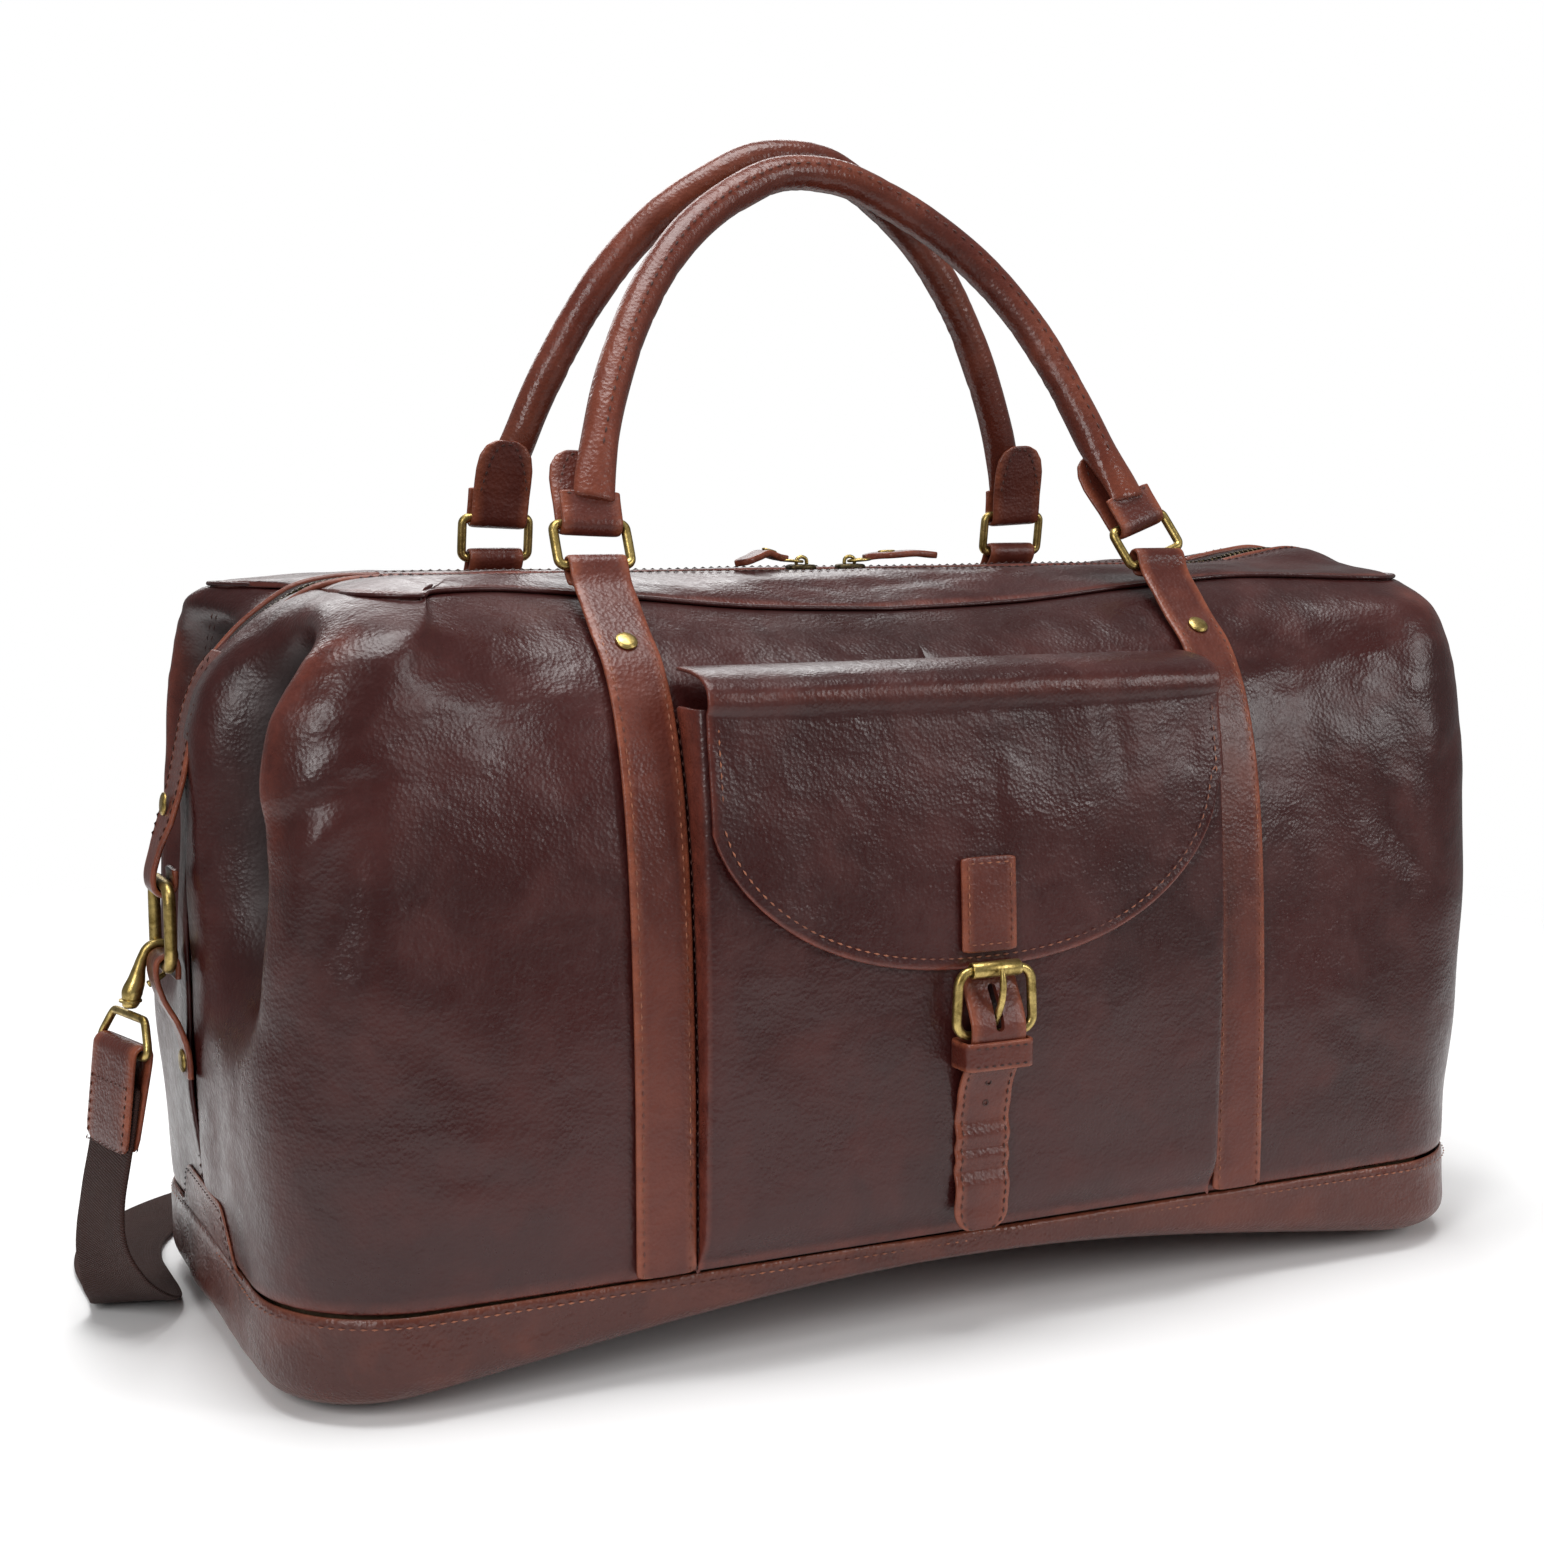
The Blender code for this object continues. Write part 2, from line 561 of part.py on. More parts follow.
def make_flap():
    root = (0, FLAP_ROOT_Y, FLAP_ROOT_Z)
    outer, inner = flap_sheet(-0.118, 0.117, 17)
    sheet("pocket_flap", outer, inner, OXBLOOD, root)
    path = []
    for z in (0.2, 0.19, 0.18, 0.17, 0.162):
        path.append((0, -(face_y(z) + 0.0014 + FLAP_THICK + 0.0005 + 0.0011), z))
    ribbon("flap_billet", path, (1, 0, 0), 2 * BILLET_HALF, 0.0022, RUSSET, root)


def make_buckle():
    """The roller buckle under the flap, with its chape, the billet's tail and its keeper."""
    middle = (BUCKLE_TOP + BUCKLE_BOTTOM) / 2
    frame = [
        (u, BUCKLE_Y, v + middle)
        for u, v in rounded_loop(BUCKLE_HALF, (BUCKLE_TOP - BUCKLE_BOTTOM) / 2, 0.006)
    ]
    wire("buckle_frame", frame, 0.0016, (0, 1, 0), BRASS)
    hollow_disc("buckle_roller", (0, BUCKLE_Y, BUCKLE_TOP), (1, 0, 0), 0.0032, 0.0021, 0.0108, BRASS,
                pivot=(0, BUCKLE_Y, BUCKLE_TOP))
    y = BUCKLE_Y
    prong = [(0, y, BUCKLE_BOTTOM + 0.0032), (0, y - 0.0025, BUCKLE_BOTTOM + 0.0080),
             (0, y - 0.0055, BUCKLE_BOTTOM + 0.0145), (0, y - 0.0062, BUCKLE_BOTTOM + 0.0205),
             (0, y - 0.0052, BUCKLE_TOP + 0.0010)]
    wire("buckle_prong", prong, (0.0011, 0.0013, 0.0013, 0.0012, 0.0009), (1, 0, 0), BRASS,
         (0, y, BUCKLE_BOTTOM), False)
    over_bar = y - 0.0035
    tail = [(0, -0.1452, 0.1522), (0, -0.1478, 0.1470), (0, -0.1528, 0.1385), (0, over_bar, 0.1325),
            (0, over_bar + 0.0002, 0.1275), (0, -0.1528, 0.1225), (0, -0.1498, 0.1160), (0, -0.1462, 0.1090)]
    tail += [(0, -(face_y(z) + 0.0018), z) for z in (0.100, 0.085, 0.070)]
    tail += [(0, -0.1432, 0.058), (0, -0.1400, 0.0475)]
    billet = ribbon("billet_tail", tail, (1, 0, 0), 2 * BILLET_HALF, 0.0022, RUSSET)
    slot = rounded_loop(0.0020, 0.0090, 0.0019, 3)
    cutter = loft("billet_slot", [[(u, y_cut, v + 0.1400) for u, v in slot] for y_cut in (-0.165, -0.1445)], RUSSET)
    cutter.hide_render = True
    cutter.display_type = "WIRE"
    cut = billet.modifiers.new("slot", "BOOLEAN")
    cut.object = cutter
    cut.operation = "DIFFERENCE"
    loop = rounded_loop(BILLET_HALF + 0.0022, 0.0070, 0.0020, 3)
    keeper = [(u, -0.1499 + v, 0.1215) for u, v in loop]
    ribbon("keeper_loop", keeper, (0, 0, 1), 0.011, 0.0014, RUSSET, closed=True)


# ---- ends and shoulder strap ----------------------------------------------------------------------
def make_end(name, side):
    """One end: the tab over it, its ring, the lower tab with a stud, and the snap hook."""
    x = side * END_RING_X
    half_wide, half_tall = END_RING_HALF
    top, bottom = END_RING_Z + half_tall, END_RING_Z - half_tall
    radius = END_RING_WIRE + 0.0006 + 0.0011
    over = [(0.2660, 0.3195), (0.2790, 0.3185), (0.2865, 0.3090), (0.2885, 0.2900), (0.2895, 0.2500),
            (0.2935, 0.2150), (0.2985, 0.2010)]
    over += [(END_RING_X + radius * np.cos(a), top + radius * np.sin(a)) for a in np.radians((0, -45, -90, -135, -180))]
    over += [(END_RING_X - radius, top + 0.006)]
    path = [(side * u, 0, v) for u, v in over]
    widths = np.interp([v for _, v in over], (0.200, 0.290), (0.0175, 0.028))
    ribbon(f"end_tab_{name}", path, (0, 1, 0), widths, 0.0022, RUSSET)
    ring = [(x, u, v + END_RING_Z) for u, v in rounded_loop(half_wide, half_tall, 0.007, 5)]
    wire(f"end_ring_{name}", ring, END_RING_WIRE, (1, 0, 0), BRASS)
    lower = [(END_RING_X - radius, bottom - 0.006)]
    lower += [(END_RING_X + radius * np.cos(a), bottom + radius * np.sin(a)) for a in np.radians((180, 135, 90, 45, 0))]
    lower += [(0.2985, 0.1430), (0.2925, 0.1310), (0.2888, 0.1180), (0.2884, 0.1080)]
    ribbon(f"end_strap_{name}", [(side * u, 0, v) for u, v in lower], (0, 1, 0), 0.017, 0.0022, RUSSET)
    disc(f"end_rivet_{name}", (side * 0.2946, 0, 0.2200), (side, 0, 0.10),
         ((0.0045, 0), (0.0045, 0.0006), (0.0030, 0.0014)), BRASS)
    disc(f"end_stud_{name}", (side * 0.2907, 0, 0.1150), (side, 0, 0),
         ((0.0048, 0), (0.0048, 0.0006), (0.0030, 0.0014)), BRASS)


HOOK_Y = 0.0112  # the hooks hang beside the end straps
LOOP_TOP, LOOP_BOTTOM = (0.3088, 0.0110, 0.1335), (0.3118, 0.0105, 0.1195)
LOOP_WIRE = 0.0018
STRAP_ACROSS = (-0.262, -0.965, 0)  # along the strap's width at the right end


def make_hook(name, side):
    """A snap hook hanging from the end ring, its sprung gate, and the loop under it."""
    place = np.array([side, 1, 1])
    bar = np.array([END_RING_X, HOOK_Y, END_RING_Z - END_RING_HALF[1]])
    around = 0.0062
    turn = np.radians(np.linspace(212, 15, 8))
    path = [bar + around * np.array([np.cos(a), 0, np.sin(a)]) for a in turn]
    path += [(0.3042, HOOK_Y, 0.1525), (0.3058, HOOK_Y, 0.1465), (0.3074, HOOK_Y, 0.1425), (0.3080, HOOK_Y, 0.1372)]
    radii = (0.0014, 0.0018, *[0.0021] * 6, 0.0025, 0.0036, 0.0042, 0.0034)
    wire(f"snap_hook_{name}", np.array(path) * place, radii, (0, 1, 0), BRASS, closed=False, sides=8)
    hinge = np.array((0.3012, HOOK_Y, 0.1450)) * place
    gate = [hinge, np.array((0.2975, HOOK_Y, 0.1470)) * place, np.array((0.2940, HOOK_Y, 0.1492)) * place]
    wire(f"snap_gate_{name}", gate, 0.0012, (0, 1, 0), BRASS, hinge, False)
    across = unit(STRAP_ACROSS) * place
    middle = (np.array(LOOP_TOP) + LOOP_BOTTOM) / 2 * place
    up = unit((np.array(LOOP_TOP) - LOOP_BOTTOM) * place)
    tall = np.linalg.norm(np.array(LOOP_TOP) - LOOP_BOTTOM)
    frame = [middle + across * u + up * v for u, v in rounded_loop(0.0222, tall / 2, 0.003)]
    wire(f"strap_loop_{name}", frame, LOOP_WIRE, np.cross(across, up), BRASS)
    fold = LOOP_WIRE + GAP + 0.0014
    out = np.array([0.965, -0.262, 0])
    foot = np.array(LOOP_BOTTOM)
    down = np.array([0.0045, 0, -0.0300])
    leather = [foot + out * fold + down * 1.34, foot + out * fold + down * 0.6]
    leather += [foot + fold * (np.cos(a) * out + np.sin(a) * np.array([0, 0, 1])) for a in np.radians((0, 45, 90, 135, 180))]
    leather += [foot - out * fold + down * 0.6, foot - out * fold + down * 1.34]
    ribbon(f"strap_end_{name}", np.array(leather) * place, across, WEBBING_WIDTH, 0.0022, RUSSET)


# The shoulder strap's route from its right leather end to the middle of the floor behind the bag.
STRAP_ROUTE = (
    (0.3134, 0.0105, 0.1090), (0.3158, 0.0105, 0.0930), (0.3185, 0.0108, 0.0770), (0.3215, 0.0116, 0.0600),
    (0.3222, 0.0132, 0.0440), (0.3190, 0.0172, 0.0285), (0.3125, 0.0245, 0.0145), (0.3060, 0.0370, 0.0055),
    (0.3035, 0.0540, 0.0021), (0.3035, 0.0740, 0.0018), (0.3030, 0.0980, 0.0018), (0.2970, 0.1250, 0.0018),
    (0.2800, 0.1530, 0.0018), (0.2520, 0.1760, 0.0018), (0.2150, 0.1900, 0.0018), (0.1700, 0.1950, 0.0018),
    (0.1200, 0.1930, 0.0018), (0.0600, 0.1900, 0.0018),
)


def make_shoulder_strap():
    """The webbing, hanging from both ends and lying on the floor behind the bag."""
    right = np.array(STRAP_ROUTE)
    middle = np.array([(0, 0.1890, 0.0018)])
    route = np.concatenate([right * (-1, 1, 1), middle, right[::-1]])
    path = smooth_path(route, 70)
    tangent = tangents_of(path)
    flat = np.cross(tangent, (0, 0, 1))
    hanging = np.where(path[:, :1] > 0, 1, -1) * np.array([[-0.262, 0, 0]]) + np.array([[0, -0.965, 0]])
    settle = ease((0.075 - path[:, 2:]) / 0.070)
    across = unit(hanging * (1 - settle) + flat * settle)
    ribbon("strap_webbing", path, across, WEBBING_WIDTH, WEBBING_THICK, WEBBING)
    adjuster = [(u + 0.05, v + 0.190, 0.0052) for u, v in rounded_loop(0.0110, 0.0222, 0.003)]
    wire("strap_adjuster", adjuster, LOOP_WIRE, (0, 0, 1), BRASS)


OXBLOOD = material("oxblood_leather", (0.050, 0.016, 0.014), 0.32)
RUSSET = material("russet_leather", (0.100, 0.030, 0.020), 0.38)
BRASS = material("antique_brass", (0.42, 0.33, 0.16), 0.35, 1.0)
TAPE = material("zip_tape", (0.03, 0.02, 0.018), 0.85)
BOARD = material("stiffener_board", (0.12, 0.10, 0.08), 0.8)
CLOTH = material("lining_cloth", (0.16, 0.13, 0.10), 0.9)
WEBBING = material("strap_webbing", (0.048, 0.028, 0.026), 0.85)


def main():
    for old in list(bpy.data.objects):
        bpy.data.objects.remove(old, do_unlink=True)
    make_panels()
    make_base()
    make_lining()
    make_top()
    make_sliders()
    make_handles()
    make_pocket()
    make_flap()
    make_buckle()
    for name, side in (("left", -1), ("right", 1)):
        make_end(name, side)
        make_hook(name, side)
    make_shoulder_strap()


main()
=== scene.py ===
import bmesh
import bpy
import numpy as np
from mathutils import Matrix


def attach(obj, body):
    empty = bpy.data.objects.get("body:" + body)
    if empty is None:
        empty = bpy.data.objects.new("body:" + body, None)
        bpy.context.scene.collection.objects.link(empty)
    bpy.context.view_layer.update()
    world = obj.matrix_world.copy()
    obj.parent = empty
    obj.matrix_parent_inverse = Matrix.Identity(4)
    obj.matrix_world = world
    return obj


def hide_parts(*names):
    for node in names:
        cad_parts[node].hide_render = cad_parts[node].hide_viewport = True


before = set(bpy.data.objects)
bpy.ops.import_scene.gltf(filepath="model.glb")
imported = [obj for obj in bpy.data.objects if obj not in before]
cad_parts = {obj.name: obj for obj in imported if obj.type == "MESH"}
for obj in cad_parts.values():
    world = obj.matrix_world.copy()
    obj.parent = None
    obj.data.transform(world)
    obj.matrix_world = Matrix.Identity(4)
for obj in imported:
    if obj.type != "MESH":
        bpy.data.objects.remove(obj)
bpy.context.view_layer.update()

# ---- sizes of the bag, metres ---------------------------------------------------------------------
HALF_DEPTH, SEAM_Z = 0.1305, 0.042
LEATHER, GAP = 0.0024, 0.0006
CORNER_BOTTOM, CORNER_TOP = 0.055, 0.042
STRAP_X, STRAP_WIDTH, STRAP_THICK = 0.134, 0.025, 0.0022
RING_WIRE, RING_WIDE, RING_TALL, RING_CORNER = 0.002, 0.031, 0.018, 0.003
RING_Y, RING_Z = 0.0635, 0.3145
FRONT_LEAN, BACK_LEAN, BACK_RISE = np.radians(25.6), np.radians(8.6), 0.957
HANDLE_RADIUS = 0.008
FRONT_RIGHT_TILT = np.radians(20)  # the front handle pulls its right ring over
ZIP_HALF, SLIDER_X = 0.0135, 0.012
POCKET_LEFT, POCKET_RIGHT, POCKET_TOP = -0.1205, 0.1195, 0.262
FLAP_ROOT_Y, FLAP_ROOT_Z, FLAP_THICK = -0.1035, 0.2745, 0.002
BUCKLE_TOP, BUCKLE_BOTTOM, BUCKLE_HALF, BUCKLE_Y = 0.1555, 0.1295, 0.0175, -0.1515
BILLET_HALF = 0.0125
END_RING_Z, END_RING_X, END_RING_WIRE, END_RING_HALF = 0.172, 0.2965, 0.0026, (0.0165, 0.0165)
HOOK_Y, LOOP_WIRE = 0.0112, 0.0018
LOOP_TOP, LOOP_BOTTOM = (0.3088, 0.0110, 0.1335), (0.3118, 0.0105, 0.1195)
STRAP_ACROSS, STRAP_OUT = (-0.262, -0.965, 0), (0.965, -0.262, 0)
WEBBING_WIDTH, WEBBING_THICK, WEBBING_LENGTH = 0.038, 0.0022, 1.059
RIVET_LEVEL = 0.925
SOFT_EDGE, FRONT_BOW, BACK_BOW = 0.017, 0.026, 0.010  # the base's rounding, and how far it bows up

TOP_Z = ((0, 0.2935), (0.06, 0.2955), (0.12, 0.301), (0.20, 0.3065), (0.28, 0.3085))
MID_DEPTH = (
    (0, 0.1305), (0.28, 0.1305), (0.43, 0.129), (0.585, 0.126), (0.70, 0.1215),
    (0.81, 0.1135), (0.875, 0.105), (0.94, 0.088), (1, 0.060),
)
EAR_DEPTH = ((0, 0.1295), (0.3, 0.1305), (0.6, 0.128), (0.8, 0.124), (0.9, 0.119), (0.96, 0.111), (1, 0.088))
END_X = ((0, 0.281), (0.25, 0.285), (0.45, 0.285), (0.8, 0.280), (1, 0.270))
FULL_END_X = (*END_X[:3], (0.8, 0.281), (0.93, 0.275), (1, 0.266))
SLUMPED_END_X = (  # the front left corner has sunk over its fold
    (0, 0.281), (0.25, 0.285), (0.45, 0.285), (0.75, 0.2845), (0.84, 0.280), (0.90, 0.270), (0.93, 0.262),
    (0.964, 0.250), (1, 0.234),
)
CAVE_DEPTH, CAVE_Y, CAVE_HALF = 0.056, 0.060, 0.044
CAVE_FOOT, CAVE_FULL, CAVE_ARCH, CAVE_CLOSED = 0.125, 0.215, 0.264, 0.300
STRAP_LEVELS = (0.14, 0.28, 0.43, 0.55, 0.65, 0.73, 0.80, 0.86)
POCKET_FACE = ((0.045, 0.1325), (0.06, 0.1405), (0.15, 0.142), (0.21, 0.139), (0.25, 0.1335), (0.275, 0.129))
ZIP_Z = ((0, 0.3085), (0.20, 0.3085), (0.235, 0.3115), (0.262, 0.314))
HANDLE_ARCH = (
    (0.1295, 0.036), (0.1250, 0.050), (0.1165, 0.0735), (0.1080, 0.0925), (0.0975, 0.1125), (0.0835, 0.1340),
    (0.0630, 0.1570), (0.0370, 0.1760), (0.0160, 0.1862), (0, 0.1880),
)
# The zip's course in x and z: level under the sliders, down over the sunken left end, up at the right.
ZIP_RUN = (
    (-0.2850, 0.236), (-0.2825, 0.250), (-0.2780, 0.2635), (-0.2705, 0.2765), (-0.2620, 0.2865),
    (-0.2500, 0.2965),
    (-0.2370, 0.3045), (-0.2220, 0.3078), (-0.2000, 0.3085), (-0.1500, 0.3085), (0, 0.3085),
    (0.1500, 0.3085),
    (0.1820, 0.3085), (0.2050, 0.3100), (0.2270, 0.3140), (0.2450, 0.3158), (0.2600, 0.3125),
    (0.2700, 0.3065),
    (0.2775, 0.2960), (0.2820, 0.2800), (0.2840, 0.2640),
)
# The shoulder strap's route from its right leather end to the middle of the floor behind the bag.
STRAP_ROUTE = (
    (0.3134, 0.0105, 0.1090), (0.3158, 0.0105, 0.0930), (0.3185, 0.0108, 0.0770), (0.3215, 0.0116, 0.0600),
    (0.3222, 0.0132, 0.0440), (0.3190, 0.0172, 0.0285), (0.3125, 0.0245, 0.0145), (0.3060, 0.0370, 0.0055),
    (0.3035, 0.0540, 0.0021), (0.3035, 0.0740, 0.0018), (0.3030, 0.0980, 0.0018), (0.2970, 0.1250, 0.0018),
    (0.2800, 0.1530, 0.0018), (0.2520, 0.1760, 0.0018), (0.2150, 0.1900, 0.0018), (0.1700, 0.1950, 0.0018),
    (0.1200, 0.1930, 0.0018), (0.0600, 0.1900, 0.0018),
)


ZIP_RUN_X, ZIP_RUN_Z = np.array(ZIP_RUN[4:-3]).T


# ---- curves ---------------------------------------------------------------------------------------
def through(position, knots, overshoot=False):
    """The smooth curve through knots, read at position; without overshoot it never passes a knot's value."""
    at, value = np.array(knots, float).T
    slope = np.gradient(value, at)
    if not overshoot:
        rise = np.diff(value) / np.diff(at)
        product = rise[1:] * rise[:-1]
        total = np.where(product > 0, rise[1:] + rise[:-1], 1)
        slope[1:-1] = np.where(product > 0, 2 * product / total, 0)
    position = np.clip(position, at[0], at[-1])
    k = np.clip(np.searchsorted(at, position, side="right") - 1, 0, len(at) - 2)
    span = at[k + 1] - at[k]
    t = (position - at[k]) / span
    return (
        value[k] * (1 + 2 * t) * (1 - t) ** 2
        + slope[k] * span * t * (1 - t) ** 2
        + value[k + 1] * t**2 * (3 - 2 * t)
        - slope[k + 1] * span * t**2 * (1 - t)
    )


def ease(t):
    t = np.clip(t, 0, 1)
    return t * t * (3 - 2 * t)


def bell(distance, width):
    return np.exp(-((distance / width) ** 2))


def unit(vectors):
    vectors = np.asarray(vectors, float)
    return vectors / np.maximum(np.linalg.norm(vectors, axis=-1, keepdims=True), 1e-12)


def run_of(path):
    """How far along path each of its points is."""
    return np.concatenate([[0], np.cumsum(np.linalg.norm(np.diff(path, axis=0), axis=1))])


def evenly(path, count):
    run = run_of(path)
    even = np.linspace(0, run[-1], count)
    return np.stack([np.interp(even, run, axis) for axis in np.asarray(path, float).T], 1)


def smooth_path(points, count):
    """count points, evenly spaced along a smooth curve through the given points."""
    points = np.array(points, float)
    at = run_of(points)
    fine = np.linspace(0, at[-1], 40 * len(points))
    curve = np.stack([through(fine, np.stack([at, axis], 1), True) for axis in points.T], 1)
    return evenly(curve, count)


def rounded_loop(half_wide, half_tall, corner, steps=8):
    points = []
    for k, (sx, sy) in enumerate(((1, 1), (-1, 1), (-1, -1), (1, -1))):
        for a in np.linspace(0, np.pi / 2, steps) + k * np.pi / 2:
            points.append((
                sx * (half_wide - corner) + corner * np.cos(a),
                sy * (half_tall - corner) + corner * np.sin(a),
            ))
    return np.array(points)


def waves(points, size, seed, count=7):
    """A smooth random field of about -1 to 1 over points, with lumps about size across."""
    rng = np.random.default_rng(seed)
    total = 0
    for _ in range(count):
        direction = unit(rng.normal(size=points.shape[-1])) * rng.uniform(0.6, 1.6) * np.pi / size
        total = total + np.sin(points @ direction + rng.uniform(0, 6.28))
    return total / np.sqrt(count)


# ---- the body's shape -----------------------------------------------------------------------------
def top_z(x):
    return through(np.abs(x), TOP_Z)


def ear(x):
    return ease((np.abs(x) - 0.165) / 0.09)


def depth(x, level):
    mix = ear(x)
    return through(level, MID_DEPTH) * (1 - mix) + through(level, EAR_DEPTH) * mix


def height(x, level):
    return SEAM_Z + level * (top_z(x) - 0.004 * ear(x) - SEAM_Z)


def front_y(x, z):
    return depth(x, (z - SEAM_Z) / (top_z(x) - 0.004 * ear(x) - SEAM_Z))


def cave(y, z):
    """How far the end wall is folded inwards."""
    across = np.clip((np.abs(y) - CAVE_Y) / CAVE_HALF, -1, 1)
    opening = ease((z - CAVE_FOOT) / (CAVE_FULL - CAVE_FOOT))
    arch = 1 - ease((z - CAVE_ARCH) / (CAVE_CLOSED - CAVE_ARCH))
    return CAVE_DEPTH * np.cos(across * np.pi / 2) ** 2 * opening * arch


def half_plan(half_length, half_depth, corner, end_steps, corner_steps, side_steps):
    start = 0.0008
    end = [(-half_length, y) for y in np.linspace(start, half_depth - corner, end_steps)]
    turn = np.linspace(0, np.pi / 2, corner_steps)[1:-1]
    centre = np.array([half_length - corner, half_depth - corner])
    arc = [(-centre[0] - corner * np.cos(a), centre[1] + corner * np.sin(a)) for a in turn]
    side = [(x, half_depth) for x in np.linspace(-centre[0], centre[0], side_steps)]
    right = [(-x, y) for x, y in (end + arc)[::-1]]
    return np.array(end + arc + side + right)


def end_slump(y, side):
    """How much of the left end's sunken outline shows at y; side is -1 on the bag's front half."""
    return 1.0 + 0 * y if side < 0 else 1 - ease((y - 0.02) / 0.06)


def wall_loop(level, steps, side):
    corner = CORNER_BOTTOM + (CORNER_TOP - CORNER_BOTTOM) * level
    full = through(level, FULL_END_X)
    plan = half_plan(full, HALF_DEPTH, corner, *steps)
    x = plan[:, 0].copy()
    y = plan[:, 1] / HALF_DEPTH * depth(x, level)
    y[[0, -1]] = plan[0, 1]
    z = height(x, level)
    sunk = (full - through(level, SLUMPED_END_X)) * end_slump(y, side) * ease((-x - 0.20) / 0.05)
    x = x + sunk
    return np.stack([x - np.sign(x) * cave(y, z), y, z], 1)


def normals_of(grid):
    return unit(np.cross(np.gradient(grid, axis=0), np.gradient(grid, axis=1)))


def zip_z(x):
    return through(np.abs(x), ZIP_Z)


def off_panel(x, level, stand):
    """A point that stands off the panel's surface, as (depth, z)."""
    step = 0.01
    fall = depth(x, level - step) - depth(x, level + step)
    rise = height(x, level + step) - height(x, level - step)
    run = np.hypot(fall, rise)
    return depth(x, level) + rise / run * stand, height(x, level) + fall / run * stand


def face_y(z):
    return through(z, POCKET_FACE)


# ---- finishes -------------------------------------------------------------------------------------
class Nodes:
    """A material's node tree, with short ways to add to it."""

    def __init__(self, name):
        self.material = bpy.data.materials.new(name)
        self.material.use_nodes = True
        self.tree = self.material.node_tree
        self.shader = self.tree.nodes["Principled BSDF"]

    def add(self, kind, inputs=(), **settings):
        made = self.tree.nodes.new(kind)
        for name, value in settings.items():
            setattr(made, name, value)
        for slot, value in dict(inputs).items():
            self.plug(value, made.inputs[slot])
        return made

    def plug(self, value, socket):
        if isinstance(value, bpy.types.NodeSocket):
            self.tree.links.new(value, socket)
        else:
            socket.default_value = value

    def place(self, stretch=(1, 1, 1)):
        where = self.add("ShaderNodeTexCoord").outputs["Object"]
        return self.add("ShaderNodeMapping", {"Vector": where, "Scale": stretch}).outputs["Vector"]

    def noise(self, where, size, detail=4.0, rough=0.55, twist=0.0):
        inputs = {"Vector": where, "Scale": 1 / size, "Detail": detail, "Roughness": rough,
                  "Distortion": twist}
        return self.add("ShaderNodeTexNoise", inputs).outputs["Fac"]

    def spread(self, value, low, high, to_low=0.0, to_high=1.0):
        inputs = {"Value": value, "From Min": low, "From Max": high, "To Min": to_low, "To Max": to_high}
        return self.add("ShaderNodeMapRange", inputs).outputs["Result"]

    def mix(self, share, first, second, blend="MIX"):
        made = self.add("ShaderNodeMix", data_type="RGBA", blend_type=blend)
        self.plug(share, made.inputs[0])
        self.plug(first, made.inputs[6])
        self.plug(second, made.inputs[7])
        return made.outputs[2]

    def math(self, operation, first, second=0.0):
        made = self.add("ShaderNodeMath", operation=operation)
        self.plug(first, made.inputs[0])
        self.plug(second, made.inputs[1])
        return made.outputs[0]

    def attribute(self, name):
        return self.add("ShaderNodeAttribute", attribute_name=name).outputs["Fac"]

    def bump(self, *layers):
        """Bumps stacked on each other; each layer is (height, depth in metres)."""
        normal = None
        for value, high in layers:
            made = self.add("ShaderNodeBump", {"Height": value, "Distance": high, "Strength": 1.0})
            if normal is not None:
                self.tree.links.new(normal, made.inputs["Normal"])
            normal = made.outputs["Normal"]
        self.tree.links.new(normal, self.shader.inputs["Normal"])

    def set(self, **values):
        for name, value in values.items():
            self.plug(value, self.shader.inputs[name.replace("_", " ")])
        return self.material


def rgb(red, green, blue):
    """A colour given in the 0 to 255 scale of a paint chart."""
    chart = np.array([red, green, blue]) / 255
    return (*np.where(chart <= 0.04045, chart / 12.92, ((chart + 0.055) / 1.055) ** 2.4), 1)


